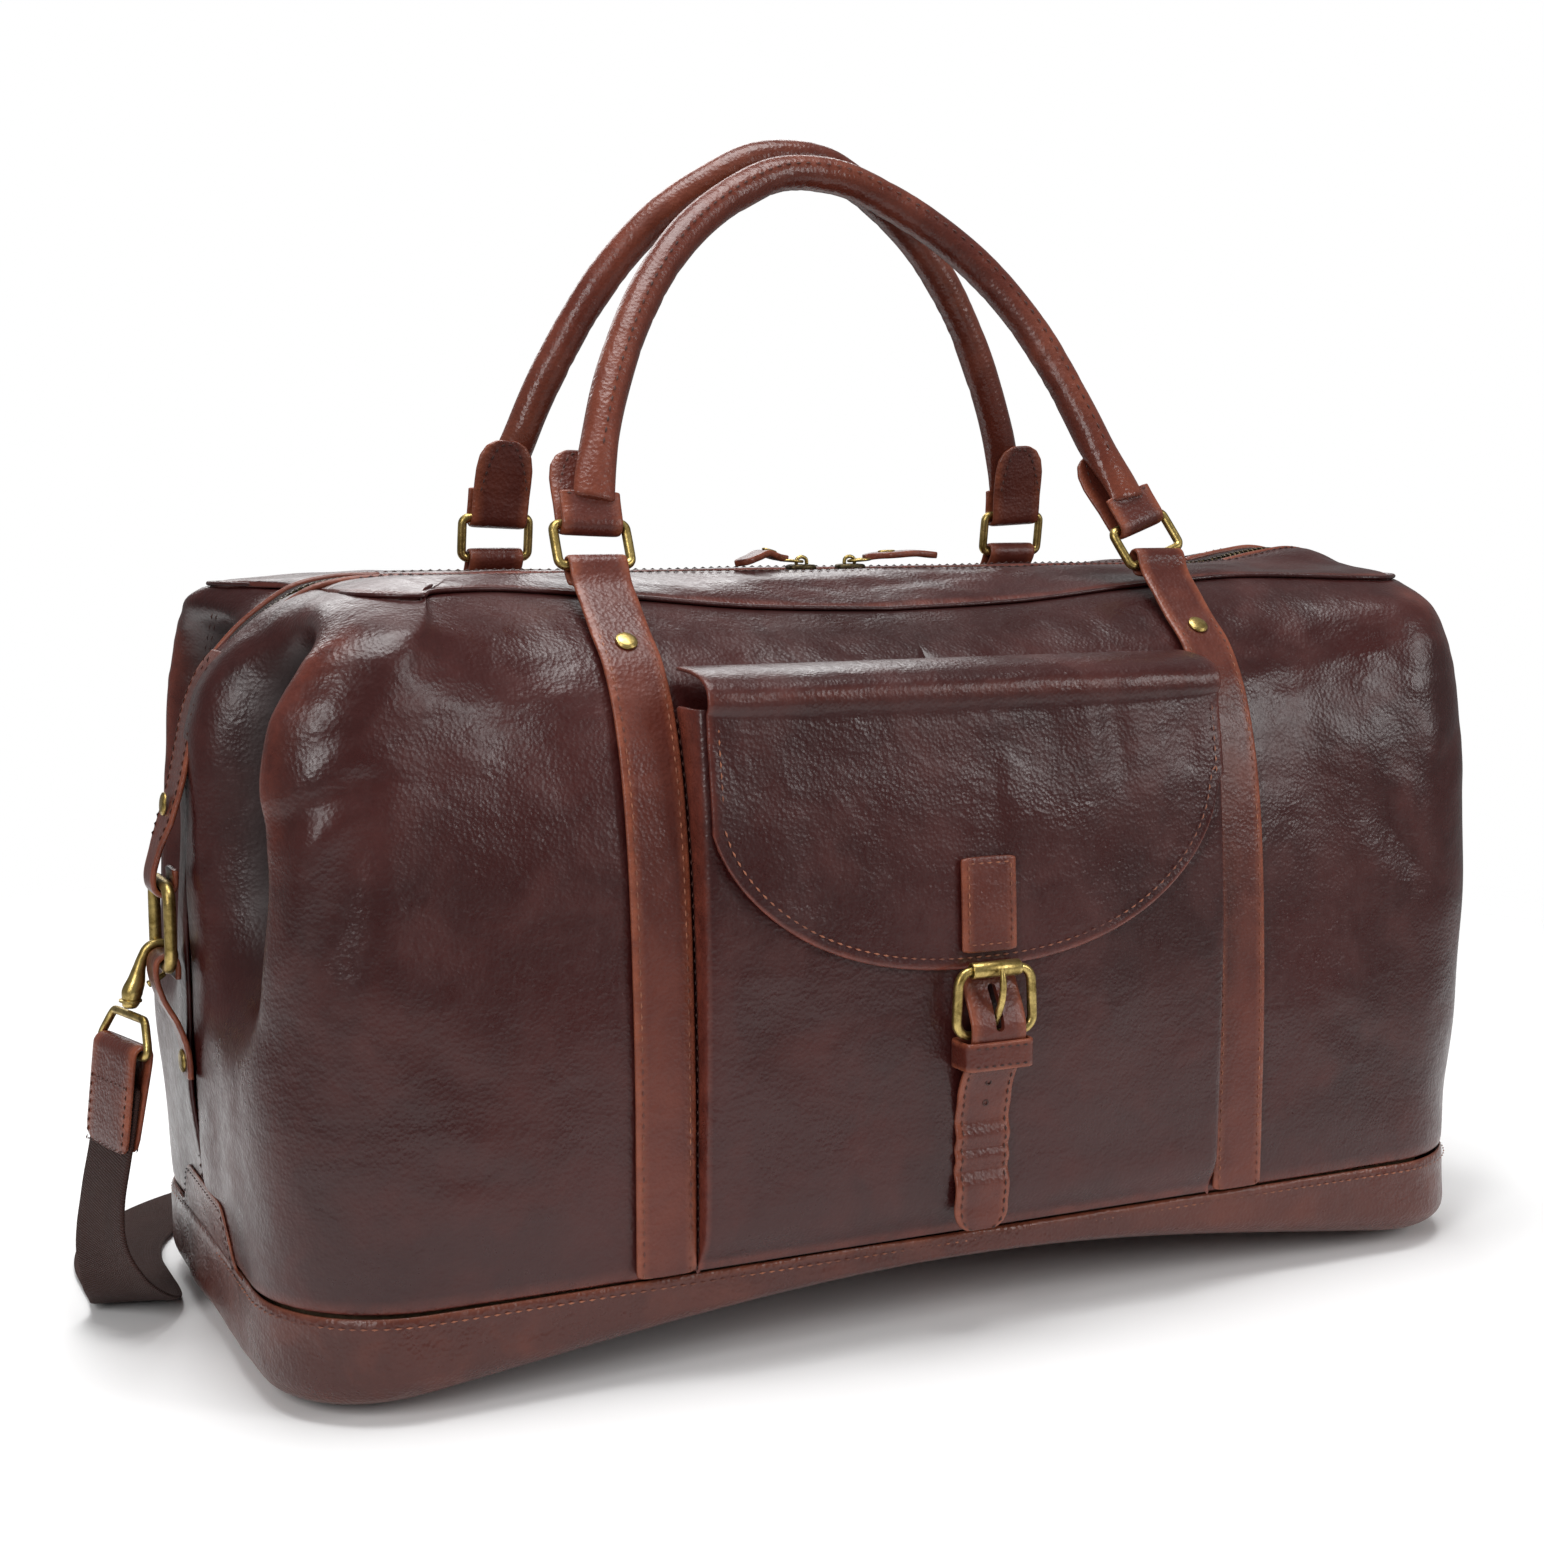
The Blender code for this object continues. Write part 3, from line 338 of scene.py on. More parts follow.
def leather(name, dark, middle, light, worn, rough, grain=1.0, wrinkle=1.0):
    """Glazed hide: mottled dye, fine pores, pull-up wrinkles, paler edges (worn edges, and a painted
    highlight on the panels' fold ridges), and painted shade where the shade mark is set.
    """
    n = Nodes(name)
    where = n.place()
    broad = n.noise(where, 0.10, 3, 0.55, 0.3)
    cloudy = n.noise(where, 0.030, 3, 0.60, 0.3)
    colour = n.mix(n.spread(broad, 0.34, 0.66), dark, middle)
    colour = n.mix(n.spread(cloudy, 0.46, 0.78, 0, 0.6), colour, light)
    veins = n.noise(n.place((1, 1, 1.5)), 0.050, 4, 0.6, 0.7)
    vein_line = n.spread(n.math("ABSOLUTE", n.math("SUBTRACT", veins, 0.5)), 0, 0.012, 1, 0)
    vein_line = n.math("MULTIPLY", vein_line, n.spread(cloudy, 0.50, 0.62))
    colour = n.mix(n.math("MULTIPLY", vein_line, 0.16 * wrinkle), colour, dark)
    pores = n.add("ShaderNodeTexVoronoi", {"Vector": where, "Scale": 620.0},
                  feature="F1").outputs["Distance"]
    scuff = n.noise(where, 0.004, 3, 0.65)
    edge, painted_shade = n.attribute("edge"), n.attribute("shade")
    # paler edge colour: wear on strap, seam and pocket edges, and a painted highlight on the panels'
    # end-fold ridges
    wear_and_highlight = n.math("MULTIPLY", edge, n.spread(n.noise(where, 0.012, 6, 0.7), 0.32, 0.62, 0.25, 1))
    colour = n.mix(wear_and_highlight, colour, worn)
    # painted shade: where the shade mark is set the colour goes nearly black and the leather goes rough
    colour = n.mix(painted_shade, colour, tuple(0.22 * v for v in dark[:3]) + (1,))
    roughness = n.spread(n.math("ADD", n.math("MULTIPLY", cloudy, 0.7), n.math("MULTIPLY", scuff, 0.5)),
                         0.45, 0.8, rough - 0.07, rough + 0.12)
    roughness = n.math("MAXIMUM", roughness, n.math("MULTIPLY", painted_shade, 0.85))
    crumple = n.noise(n.place((1, 1, 1.3)), 0.024, 3, 0.5, 0.4)
    n.bump((crumple, 0.0010 * wrinkle), (scuff, 0.00018 * grain), (pores, 0.00014 * grain))
    return n.set(Base_Color=colour, Roughness=roughness, Specular_IOR_Level=0.38, Coat_Weight=0.08,
                 Coat_Roughness=0.25)


def brass_metal(name, bright, dull, rough):
    """Antiqued brass: bright and dull in random patches of patina, with fine darker specks."""
    n = Nodes(name)
    where = n.place()
    patina = n.noise(where, 0.006, 6, 0.7, 0.6)
    fine = n.noise(where, 0.0009, 3, 0.6)
    colour = n.mix(n.spread(patina, 0.42, 0.66), bright, dull)
    colour = n.mix(n.spread(fine, 0.52, 0.8, 0, 0.35), colour, tuple(0.5 * v for v in dull[:3]) + (1,))
    n.bump((patina, 0.00012), (fine, 0.00003))
    return n.set(Base_Color=colour, Metallic=1.0, Roughness=n.spread(patina, 0.3, 0.75, rough, rough + 0.22))


def woven(name, colour, pale, rib, thick):
    """Ribbed weave that follows the along and across attributes."""
    n = Nodes(name)
    along, across = n.attribute("along"), n.attribute("across")
    twill = n.math("SINE",
                   n.math("MULTIPLY", n.math("ADD", along, n.math("MULTIPLY", across, 0.5)), 6.283 / rib))
    columns = n.math("SINE", n.math("MULTIPLY", across, 6.283 / (1.6 * rib)))
    weave = n.math("MULTIPLY", twill, columns)
    fluff = n.noise(n.place(), 0.0016, 4, 0.7)
    worn = n.spread(n.noise(n.place(), 0.02, 4), 0.4, 0.7)
    shown = n.mix(n.spread(weave, -1, 1), colour, pale)
    shown = n.mix(n.math("MULTIPLY", worn, 0.4), shown, pale)
    n.bump((weave, thick), (fluff, thick * 0.5))
    return n.set(Base_Color=shown, Roughness=n.spread(fluff, 0.3, 0.7, 0.68, 0.9), Sheen_Weight=0.04,
                 Specular_IOR_Level=0.2)


def thread(name, colour, dark):
    n = Nodes(name)
    twist = n.noise(n.place(), 0.0007, 3, 0.6)
    grime = n.noise(n.place(), 0.03, 3)
    shown = n.mix(n.spread(grime, 0.4, 0.65), colour, dark)
    n.bump((twist, 0.0001))
    return n.set(Base_Color=shown, Roughness=n.spread(twist, 0.3, 0.7, 0.5, 0.75))


def plain_cloth(name, colour, pale, size):
    n = Nodes(name)
    warp = n.add("ShaderNodeTexWave",
                 {"Vector": n.place(), "Scale": 1 / size, "Distortion": 1.5}).outputs["Fac"]
    slub = n.noise(n.place((1, 1, 0.2)), 0.004, 5, 0.6)
    shown = n.mix(n.spread(slub, 0.35, 0.7), colour, pale)
    n.bump((warp, 0.0002), (slub, 0.0002))
    return n.set(Base_Color=shown, Roughness=n.spread(slub, 0.3, 0.7, 0.8, 0.95), Specular_IOR_Level=0.2)


def floor_paint(name):
    n = Nodes(name)
    speck = n.noise(n.place(), 0.4, 3)
    away = n.add("ShaderNodeVectorMath", {0: n.place()}, operation="LENGTH").outputs["Value"]
    n.material.surface_render_method = "DITHERED"
    return n.set(Base_Color=n.mix(n.spread(speck, 0.3, 0.7), rgb(250, 250, 250), rgb(252, 252, 252)),
                 Roughness=0.9, Specular_IOR_Level=0.1, Alpha=n.spread(away, 0.55, 1.15, 1, 0))


# the hide's paler edge colour shows as wear at the edges, and as a painted highlight on the end folds'
# ridges
HIDE = leather("oxblood_hide", rgb(46, 15, 14), rgb(60, 22, 20), rgb(76, 32, 28), rgb(122, 60, 46), 0.33)
TRIM = leather("russet_hide", rgb(70, 28, 21), rgb(88, 38, 28), rgb(108, 52, 37), rgb(132, 70, 48), 0.36,
               1.3)
GRIP = leather("handle_hide", rgb(74, 30, 21), rgb(98, 43, 30), rgb(122, 58, 40), rgb(146, 82, 58), 0.30,
               1.2, 0.7)
SOLE = leather("base_hide", rgb(64, 27, 21), rgb(82, 37, 28), rgb(104, 52, 38), rgb(132, 74, 52), 0.33, 1.6,
               1.6)
BRASS = brass_metal("antique_brass", rgb(196, 172, 108), rgb(112, 92, 44), 0.26)
DARK_BRASS = brass_metal("dark_bronze", rgb(96, 84, 60), rgb(44, 36, 26), 0.34)
WEB = woven("brown_webbing", rgb(42, 22, 18), rgb(62, 36, 30), 0.0012, 0.00035)
TAPE = woven("zip_tape_weave", rgb(34, 24, 24), rgb(54, 40, 38), 0.0009, 0.0002)
PIPING = leather("tan_piping", rgb(96, 46, 32), rgb(120, 62, 44), rgb(146, 82, 58), rgb(168, 104, 76), 0.4)
STITCH = thread("red_brown_thread", rgb(150, 92, 66), rgb(88, 46, 36))
DARK_STITCH = thread("dark_thread", rgb(72, 40, 32), rgb(44, 24, 22))
LINING = plain_cloth("lining_cotton", rgb(112, 92, 72), rgb(138, 116, 92), 0.0012)
BOARD = plain_cloth("pressed_board", rgb(92, 84, 72), rgb(112, 102, 88), 0.003)


# ---- making pieces --------------------------------------------------------------------------------
def piece(name, points, faces, finish, body, stands_for=(), marks=None, outward=None, sharp=40):
    """A mesh piece that rides on body; marks are per-point attributes, outward a (place, way) hint."""
    mesh = bpy.data.meshes.new(name)
    mesh.from_pydata([tuple(map(float, p)) for p in points], [], [tuple(int(i) for i in f) for f in faces])
    for mark, values in (marks or {}).items():
        layer = mesh.attributes.new(mark, "FLOAT", "POINT")
        layer.data.foreach_set("value", np.asarray(values, np.float32).ravel())
    shell = bmesh.new()
    shell.from_mesh(mesh)
    bmesh.ops.recalc_face_normals(shell, faces=shell.faces)
    if outward is not None:
        spot, way = np.array(outward[0]), np.array(outward[1])
        nearest = min(shell.faces, key=lambda f: np.linalg.norm(np.array(f.calc_center_median()) - spot))
        if np.dot(np.array(nearest.normal), way) < 0:
            bmesh.ops.reverse_faces(shell, faces=shell.faces)
    shell.to_mesh(mesh)
    shell.free()
    mesh.shade_smooth()
    mesh.set_sharp_from_angle(angle=np.radians(sharp))
    made = bpy.data.objects.new(name, mesh)
    mesh.materials.append(finish)
    bpy.context.collection.objects.link(made)
    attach(made, body)
    if stands_for:
        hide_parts(*stands_for)
    return made


def finish_with(made, thick=None, rounds=1, offset=-1.0):
    if thick:
        wall = made.modifiers.new("wall", "SOLIDIFY")
        wall.thickness, wall.offset, wall.use_even_offset = thick, offset, False
    if rounds:
        smooth = made.modifiers.new("smooth", "SUBSURF")
        smooth.levels = smooth.render_levels = rounds
    return made


def grid_faces(rows, columns, wrap=False):
    index = np.arange(rows * columns).reshape(rows, columns)
    if wrap:
        index = np.concatenate([index, index[:, :1]], 1)
    a, b, c, d = index[:-1, :-1], index[1:, :-1], index[1:, 1:], index[:-1, 1:]
    return list(np.stack([a, b, c, d], -1).reshape(-1, 4))


def skin(name, grid, thick, finish, body, way, stands_for=(), marks=None, rounds=1):
    """A sheet of leather: grid is its outer side, which faces way at its middle."""
    rows, columns = grid.shape[:2]
    spot = grid[rows // 2, columns // 2]
    made = piece(name, grid.reshape(-1, 3), grid_faces(rows, columns), finish, body, stands_for,
                 marks, (spot, way), 60)
    return finish_with(made, thick, rounds)


def tangents_of(path, closed=False):
    if closed:
        return unit(np.roll(path, -1, axis=0) - np.roll(path, 1, axis=0))
    return unit(np.gradient(path, axis=0))


def lofted(name, sections, finish, body, stands_for=(), marks=None, closed=False, rounds=1, sharp=50):
    sections = np.array(sections)
    count, sides = sections.shape[:2]
    faces = grid_faces(count, sides, True)
    if closed:
        last, first = (count - 1) * sides, 0
        faces += [(last + j, first + j, first + (j + 1) % sides,
                   last + (j + 1) % sides) for j in range(sides)]
    else:
        faces += [tuple(range(sides)), tuple(range((count - 1) * sides, count * sides))]
    made = piece(name, sections.reshape(-1, 3), faces, finish, body, stands_for, marks, None, sharp)
    return finish_with(made, None, rounds)


def frames_of(path, across, closed=False):
    tangent = tangents_of(path, closed)
    across = np.broadcast_to(np.array(across, float), path.shape)
    across = unit(across - tangent * (across * tangent).sum(axis=1, keepdims=True))
    return tangent, across, unit(np.cross(tangent, across))


STRAP_SECTION = (
    (0.93, 1), (0.62, 1), (0, 1.04), (-0.62, 1), (-0.93, 1), (-1, 0.45),
    (-1, -0.45), (-0.93, -1), (-0.62, -1), (0, -1), (0.62, -1), (0.93, -1), (1, -0.45), (1, 0.45),
)


def strap(name, path, across, width, thick, finish, body, stands_for=(), closed=False, crush=0.0,
          rounds=1):
    """A leather strap with softened edges; across runs along its width, and crush ripples it a little."""
    path = np.array(path, float)
    _, side, normal = frames_of(path, across, closed)
    width = np.broadcast_to(width, len(path))
    thick = np.broadcast_to(thick, len(path))
    along = run_of(path)
    sections, edge, run, offset = [], [], [], []
    for p, a, n, w, t, s in zip(path, side, normal, width, thick, along):
        sections.append([p + a * (i * w / 2) + n * (j * t / 2) for i, j in STRAP_SECTION])
        edge += [float(abs(i) > 0.9) for i, _ in STRAP_SECTION]
        run += [s] * len(STRAP_SECTION)
        offset += [i * w / 2 for i, _ in STRAP_SECTION]
    sections = np.array(sections)
    if crush:
        ripple = waves(path, 0.018, len(name)) * crush
        sections += normal[:, None] * ripple[:, None, None]
    marks = {"edge": edge, "along": run, "across": offset}
    return lofted(name, sections, finish, body, stands_for, marks, closed, rounds, 60)


def wire(name, path, radius, across, finish, body, stands_for=(), closed=True, sides=12, rounds=1,
         squash=1.0):
    """A round or slightly flattened wire along path, in the plane whose normal is across."""
    path = np.array(path, float)
    _, side, normal = frames_of(path, across, closed)
    turn = np.arange(sides) * 2 * np.pi / sides
    radius = np.broadcast_to(radius, len(path))
    sections = [
        [p + r * (squash * np.cos(t) * a + np.sin(t) * n) for t in turn]
        for p, a, n, r in zip(path, side, normal, radius)
    ]
    return lofted(name, sections, finish, body, stands_for, None, closed, rounds)


def turned(name, centre, axis, profile, finish, body, stands_for=(), sides=24):
    """A turned body: profile is (radius, height along axis) pairs, from one cap to the other."""
    axis = unit(axis)
    side = unit(np.cross(axis, (0.3, 0.2, 0.93) if abs(axis[2]) < 0.9 else (1, 0, 0)))
    other = np.cross(axis, side)
    turn = np.arange(sides) * 2 * np.pi / sides
    sections = [
        [np.array(centre) + axis * h + r * (np.cos(t) * side + np.sin(t) * other) for t in turn]
        for r, h in profile
    ]
    return lofted(name, sections, finish, body, stands_for, None, False, 0)


def rivet(name, centre, axis, size, body, stands_for=()):
    """A domed cap rivet with a rolled rim."""
    profile = [(size, 0), (size * 1.0, 0.0005), (size * 0.95, 0.0009), (size * 0.86, 0.0010)]
    profile += [(size * 0.86 * np.cos(a), 0.0010 + 0.0006 * np.sin(a)) for a in np.linspace(0.1, 1.45, 6)]
    return turned(name, centre, axis, profile, BRASS, body, stands_for)


def stitches(name, lines, finish, body, pitch=0.0042, long=0.0030, fat=0.00042, lift=0.0002):
    """Runs of thread: each line is (path, normals), each stitch a small eight-faced bead in its hole."""
    points, faces = [], []
    for path, normals in lines:
        path = np.asarray(path, float)
        normals = np.broadcast_to(np.asarray(normals, float), path.shape)
        run = run_of(path)
        count = max(int(run[-1] / pitch), 1)
        for centre in (np.arange(count) + 0.5) * run[-1] / count:
            ends = [np.array([np.interp(centre + d, run, axis) for axis in path.T]) for d in (-long / 2, 0,
                                                                                              long / 2)]
            up = unit([np.interp(centre, run, axis) for axis in normals.T])
            along = unit(ends[2] - ends[0])
            side = unit(np.cross(along, up))
            middle = ends[1] + up * lift
            base = len(points)
            points += [ends[0] - up * fat * 0.6, middle + side * fat, middle + up * fat * 0.8,
                       middle - side * fat,
                       middle - up * fat, ends[2] - up * fat * 0.6]
            for i in range(4):
                j = 1 + i
                k = 1 + (i + 1) % 4
                faces += [(base, base + j, base + k), (base + 5, base + k, base + j)]
    return piece(name, points, faces, finish, body, (), None, None, 89)


def beside(path, across, offset, lift, closed=False):
    """A line that follows path, offset to one side and lifted off it, with its normals."""
    path = np.asarray(path, float)
    _, side, normal = frames_of(path, across, closed)
    return path + side * np.asarray(offset).reshape(-1, 1) + normal * lift, normal


# ---- camera and the shoulder strap ----------------------------------------------------------------
def make_camera():
    data = bpy.data.cameras.new("camera")
    data.lens, data.sensor_width = 53.5, 36
    camera = bpy.data.objects.new("camera", data)
    camera.location = (-0.462, -0.923, 0.342)
    camera.rotation_euler = (np.radians(90 - 6.87), 0, np.radians(-25.26))
    bpy.context.collection.objects.link(camera)
    bpy.context.scene.camera = camera


def make_hook(name, side):
    """A snap hook with its gate, its swivel and the loop under it, on the end ring."""
    place = np.array([side, 1, 1])
    bar = np.array([END_RING_X, HOOK_Y, END_RING_Z - END_RING_HALF[1]])
    around = 0.0062
    turn = np.radians(np.linspace(212, 15, 8))
    path = [bar + around * np.array([np.cos(a), 0, np.sin(a)]) for a in turn]
    path += [(0.3042, HOOK_Y, 0.1525), (0.3058, HOOK_Y, 0.1465), (0.3074, HOOK_Y, 0.1425),
             (0.3080, HOOK_Y, 0.1372)]
    radii = (0.0012, 0.0019, *[0.0022] * 6, 0.0026, 0.0038, 0.0044, 0.0034)
    along = run_of(np.array(path))
    fine = smooth_path(path, 40)
    radius = np.interp(np.linspace(0, 1, 40), along / along[-1], radii)
    hook = wire(f"snap_hook_{name}", fine * place, radius, (0, 1, 0), BRASS, "bag",
                (f"snap_hook_{name}",), False, 14)
    knob = turned(f"hook_swivel_{name}", np.array((0.3081, HOOK_Y, 0.1402)) * place, (0.05 * side, 0, -1),
                  ((0.0030, 0), (0.0046, 0.0006), (0.0046, 0.0014), (0.0033, 0.0020), (0.0033, 0.0030),
                   (0.0024, 0.0040)),
                  BRASS, "bag")
    hinge = np.array((0.3012, HOOK_Y, 0.1450)) * place
    gate_path = smooth_path([hinge, np.array((0.2975, HOOK_Y, 0.1470)) * place,
                             np.array((0.2940, HOOK_Y, 0.1492)) * place], 12)
    gate = wire(f"snap_gate_{name}", gate_path, np.linspace(0.0016, 0.0011, 12), (0, 1, 0), BRASS,
                f"gate_{name}",
                (f"snap_gate_{name}",), False, 10)
    across = unit(STRAP_ACROSS) * place
    middle = (np.array(LOOP_TOP) + LOOP_BOTTOM) / 2 * place
    up = unit((np.array(LOOP_TOP) - LOOP_BOTTOM) * place)
    tall = np.linalg.norm(np.array(LOOP_TOP) - LOOP_BOTTOM)
    outline = []
    for u, v in rounded_loop(0.0222, tall / 2, 0.0045, 8):
        narrow = 1 - 0.30 * ease(v / tall + 0.5)  # the loop narrows towards the swivel
        outline.append(middle + across * u * narrow + up * v)
    loop = wire(f"strap_loop_{name}", outline, LOOP_WIRE, np.cross(across, up), BRASS, "bag",
                (f"strap_loop_{name}",), True, 12)
    fold = LOOP_WIRE + GAP + 0.0014
    out = np.array(STRAP_OUT)
    foot = np.array(LOOP_BOTTOM)
    down = np.array([0.0045, 0, -0.0300])
    turn = np.radians(np.linspace(0, 180, 9))
    leather_path = [foot + out * fold * (1 - 0.35 * k) + down * k for k in (1.34, 1.1, 0.85, 0.6, 0.35)]
    leather_path += [foot + fold * (np.cos(a) * out + np.sin(a) * np.array([0, 0, 1])) for a in turn]
    leather_path += [foot - out * fold * (1 - 0.35 * k) + down * k for k in (0.35, 0.6, 0.85, 1.1, 1.34)]
    leather_path = np.array(leather_path) * place
    end = strap(f"strap_end_{name}", leather_path, across, WEBBING_WIDTH, 0.0026, TRIM, "bag",
                (f"strap_end_{name}",))
    lines = []
    for face in (leather_path[:5], leather_path[-5:]):
        outward = unit(face.mean(axis=0) - (foot + down * 0.85) * place)
        surface = face + outward * 0.0014
        for edge in (-1, 1):
            lines.append((surface + across * edge * 0.0160, outward))
        for row in (surface[[0, -1][0]], surface[-1]):
            near = row + (surface.mean(axis=0) - row) * 0.12
            lines.append((np.array([near - across * 0.016, near + across * 0.016]), outward))
    sewn = stitches(f"strap_end_stitching_{name}", lines, DARK_STITCH, "bag", 0.0036,
                    0.0026)
    return [hook, knob, gate, loop, end, sewn]


def make_shoulder_strap():
    right = np.array(STRAP_ROUTE)
    middle = np.array([(0, 0.1890, 0.0018)])
    route = np.concatenate([right * (-1, 1, 1), middle, right[::-1]])
    path = smooth_path(route, 210)
    tangent = tangents_of(path)
    flat = np.cross(tangent, (0, 0, 1))
    hanging = np.where(path[:, :1] > 0, 1, -1) * np.array([[-0.262, 0, 0]]) + np.array([[0, -0.965, 0]])
    settle = ease((0.075 - path[:, 2:]) / 0.070)
    across = unit(hanging * (1 - settle) + flat * settle)
    webbing = strap("shoulder_webbing", path, across, WEBBING_WIDTH, WEBBING_THICK, WEB, "bag",
                    ("strap_webbing",), rounds=1)
    outline = [(u + 0.05, v + 0.190, 0.0052) for u, v in rounded_loop(0.0110, 0.0222, 0.003)]
    adjuster = wire("strap_adjuster_frame", outline, LOOP_WIRE, (0, 0, 1), BRASS, "bag",
                    ("strap_adjuster",))
    with_it = [adjuster] + make_hook("left", -1) + make_hook("right", 1)


# ---- body -----------------------------------------------------------------------------------------
def crease(points, start, end, width, deep):
    """A fold line on a face seen square on: a groove with a soft ridge on both sides."""
    start, end = np.array(start), np.array(end)
    line = end - start
    t = np.clip(((points - start) @ line) / (line @ line), 0, 1)
    away = np.linalg.norm(points - start - t[..., None] * line, axis=-1)
    fade = np.sin(np.pi * np.clip(t, 0.02, 0.98)) ** 0.6
    return deep * fade * (-bell(away, width) + 0.55 * bell(away - 2.2 * width, width * 1.3))


FRONT_CREASES = (
    ((-0.278, 0.222), (-0.246, 0.241), 0.0040, 0.0030), ((-0.252, 0.238), (-0.236, 0.240), 0.0030, 0.0016),
    ((-0.262, 0.235), (-0.276, 0.160), 0.0060, -0.0028), ((-0.244, 0.246), (-0.258, 0.175), 0.0055, 0.0014),
    ((-0.104, 0.287), (-0.070, 0.281), 0.0016, 0.0011), ((-0.098, 0.280), (-0.060, 0.276), 0.0014, 0.0008),
    ((-0.060, 0.284), (-0.020, 0.276), 0.0018, 0.0010), ((-0.090, 0.271), (-0.050, 0.268), 0.0014, 0.0007),
    ((0.040, 0.281), (0.085, 0.276), 0.0018, 0.0009), ((0.262, 0.236), (0.244, 0.215), 0.0050, 0.0018),
    ((0.205, 0.215), (0.238, 0.168), 0.0070, 0.0016), ((-0.235, 0.150), (-0.205, 0.120), 0.0060, 0.0008),
    ((-0.232, 0.100), (-0.190, 0.086), 0.0050, 0.0009), ((0.175, 0.120), (0.215, 0.095), 0.0060, 0.0008),
)
BACK_CREASES = (
    ((-0.270, 0.226), (-0.242, 0.240), 0.0040, 0.0024), ((0.270, 0.224), (0.240, 0.242), 0.0045, 0.0026),
    ((-0.080, 0.200), (0.020, 0.188), 0.0060, 0.0009), ((0.030, 0.150), (0.100, 0.162), 0.0055, 0.0008),
    ((-0.220, 0.130), (-0.180, 0.100), 0.0060, 0.0009), ((0.200, 0.110), (0.240, 0.140), 0.0060, 0.0009),
    ((-0.060, 0.280), (-0.010, 0.273), 0.0018, 0.0009), ((0.020, 0.285), (0.075, 0.279), 0.0018, 0.0009),
)


def make_panels():
    """The two wrap-round panels, with the folds of a half-full bag, and the seams down both ends."""
    levels = np.concatenate([np.linspace(0, 0.8, 34), np.linspace(0.815, 1, 18)])
    for name, side, creases, seed in (("front", -1, FRONT_CREASES, 3), ("back", 1, BACK_CREASES, 11)):
        grid = np.array([wall_loop(level, (24, 14, 96), side) for level in levels])
        normal = normals_of(grid)
        normal *= np.sign(normal[5, 60, 1])
        flip = np.array([1, side, 1])
        points, out = grid * flip, normal * flip
        x, y, z = points[..., 0], points[..., 1], points[..., 2]
        up = ease((z - SEAM_Z) / 0.03) * ease((top_z(x) + 0.002 - z) / 0.012)
        lumps = 0.0016 * waves(points, 0.10, seed) + 0.0007 * waves(points, 0.034, seed + 1)
        lumps += 0.00035 * waves(points * (1, 1, 2.2), 0.012, seed + 2) * ease((z - 0.15) / 0.12)
        face = ease((np.abs(y) - 0.07) / 0.03)
        for start, end, width, deep in creases:
            lumps += face * crease(points[..., [0, 2]], start, end, width, deep)
        strap_near = bell(np.abs(x) - STRAP_X, 0.022) * face
        beneath = strap_near
        if side < 0:
            beneath = np.maximum(beneath, ease((0.135 - np.abs(x)) / 0.01) * ease((0.272 - z) / 0.01) * face)
        lumps = np.where(lumps > 0.0003, 0.0003 + (lumps - 0.0003) * (1 - ease(beneath * 1.5)), lumps)
        in_fold = cave(y, z) / CAVE_DEPTH
        lumps *= 1 - 0.75 * ease(in_fold * 2)
        made = points + out * (lumps * up)[..., None]
        made[:, [0, -1], 1] = points[:, [0, -1], 1]
        # ridge paints a highlight down the front edge of each end fold; bottom is wear along the base seam
        ridge = bell(np.abs(y) - 0.100, 0.010) * ease((z - 0.17) / 0.06) * ease((np.abs(x) - 0.235) / 0.02)
        bottom = bell(z - SEAM_Z, 0.0025)
        # shade is painted shade: dark deep in the end folds, and a darker line along the top seam
        marks = {
            "edge": np.clip(0.55 * ridge + 0.5 * bottom, 0, 1),
            "shade": np.clip(ease(in_fold * 1.7) + 0.4 * bell(z - top_z(x), 0.003), 0, 1),
        }
        skin(f"{name}_wall", made, LEATHER, HIDE, "bag", (0, side, 0),
             (f"{name}_panel",), marks)
    seam = []
    for side in (-1, 1):
        zs = np.linspace(SEAM_Z + 0.004, 0.296, 60)
        level = (zs - SEAM_Z) / (top_z(0.27) - 0.004 - SEAM_Z)
        xs = through(level, END_X) + 0.0004
        for y in (-0.0042, 0.0042):
            path = np.stack([side * xs, np.full(60, y), zs], 1)
            seam.append((path, (side, 0, 0)))
    stitches("end_seam_stitching", seam, DARK_STITCH, "bag")


def full_plan(half_length, half_depth, corner, z):
    half = half_plan(half_length, half_depth, corner, 12, 16, 80)
    half[[0, -1], 1] = 0
    loop = np.concatenate([half, half[-2:0:-1] * (1, -1)])
    return np.column_stack([loop, np.full(len(loop), z)])


def bow_of(x, y):
    """How far the floor bows up at x and y: most under the front edge, halfway along."""
    along = np.cos(np.clip(x / 0.30, -1, 1) * np.pi / 2) ** 1.5
    return along * np.where(y < 0, FRONT_BOW, BACK_BOW) * ease((np.abs(y) - 0.01) / 0.13) * 1.12


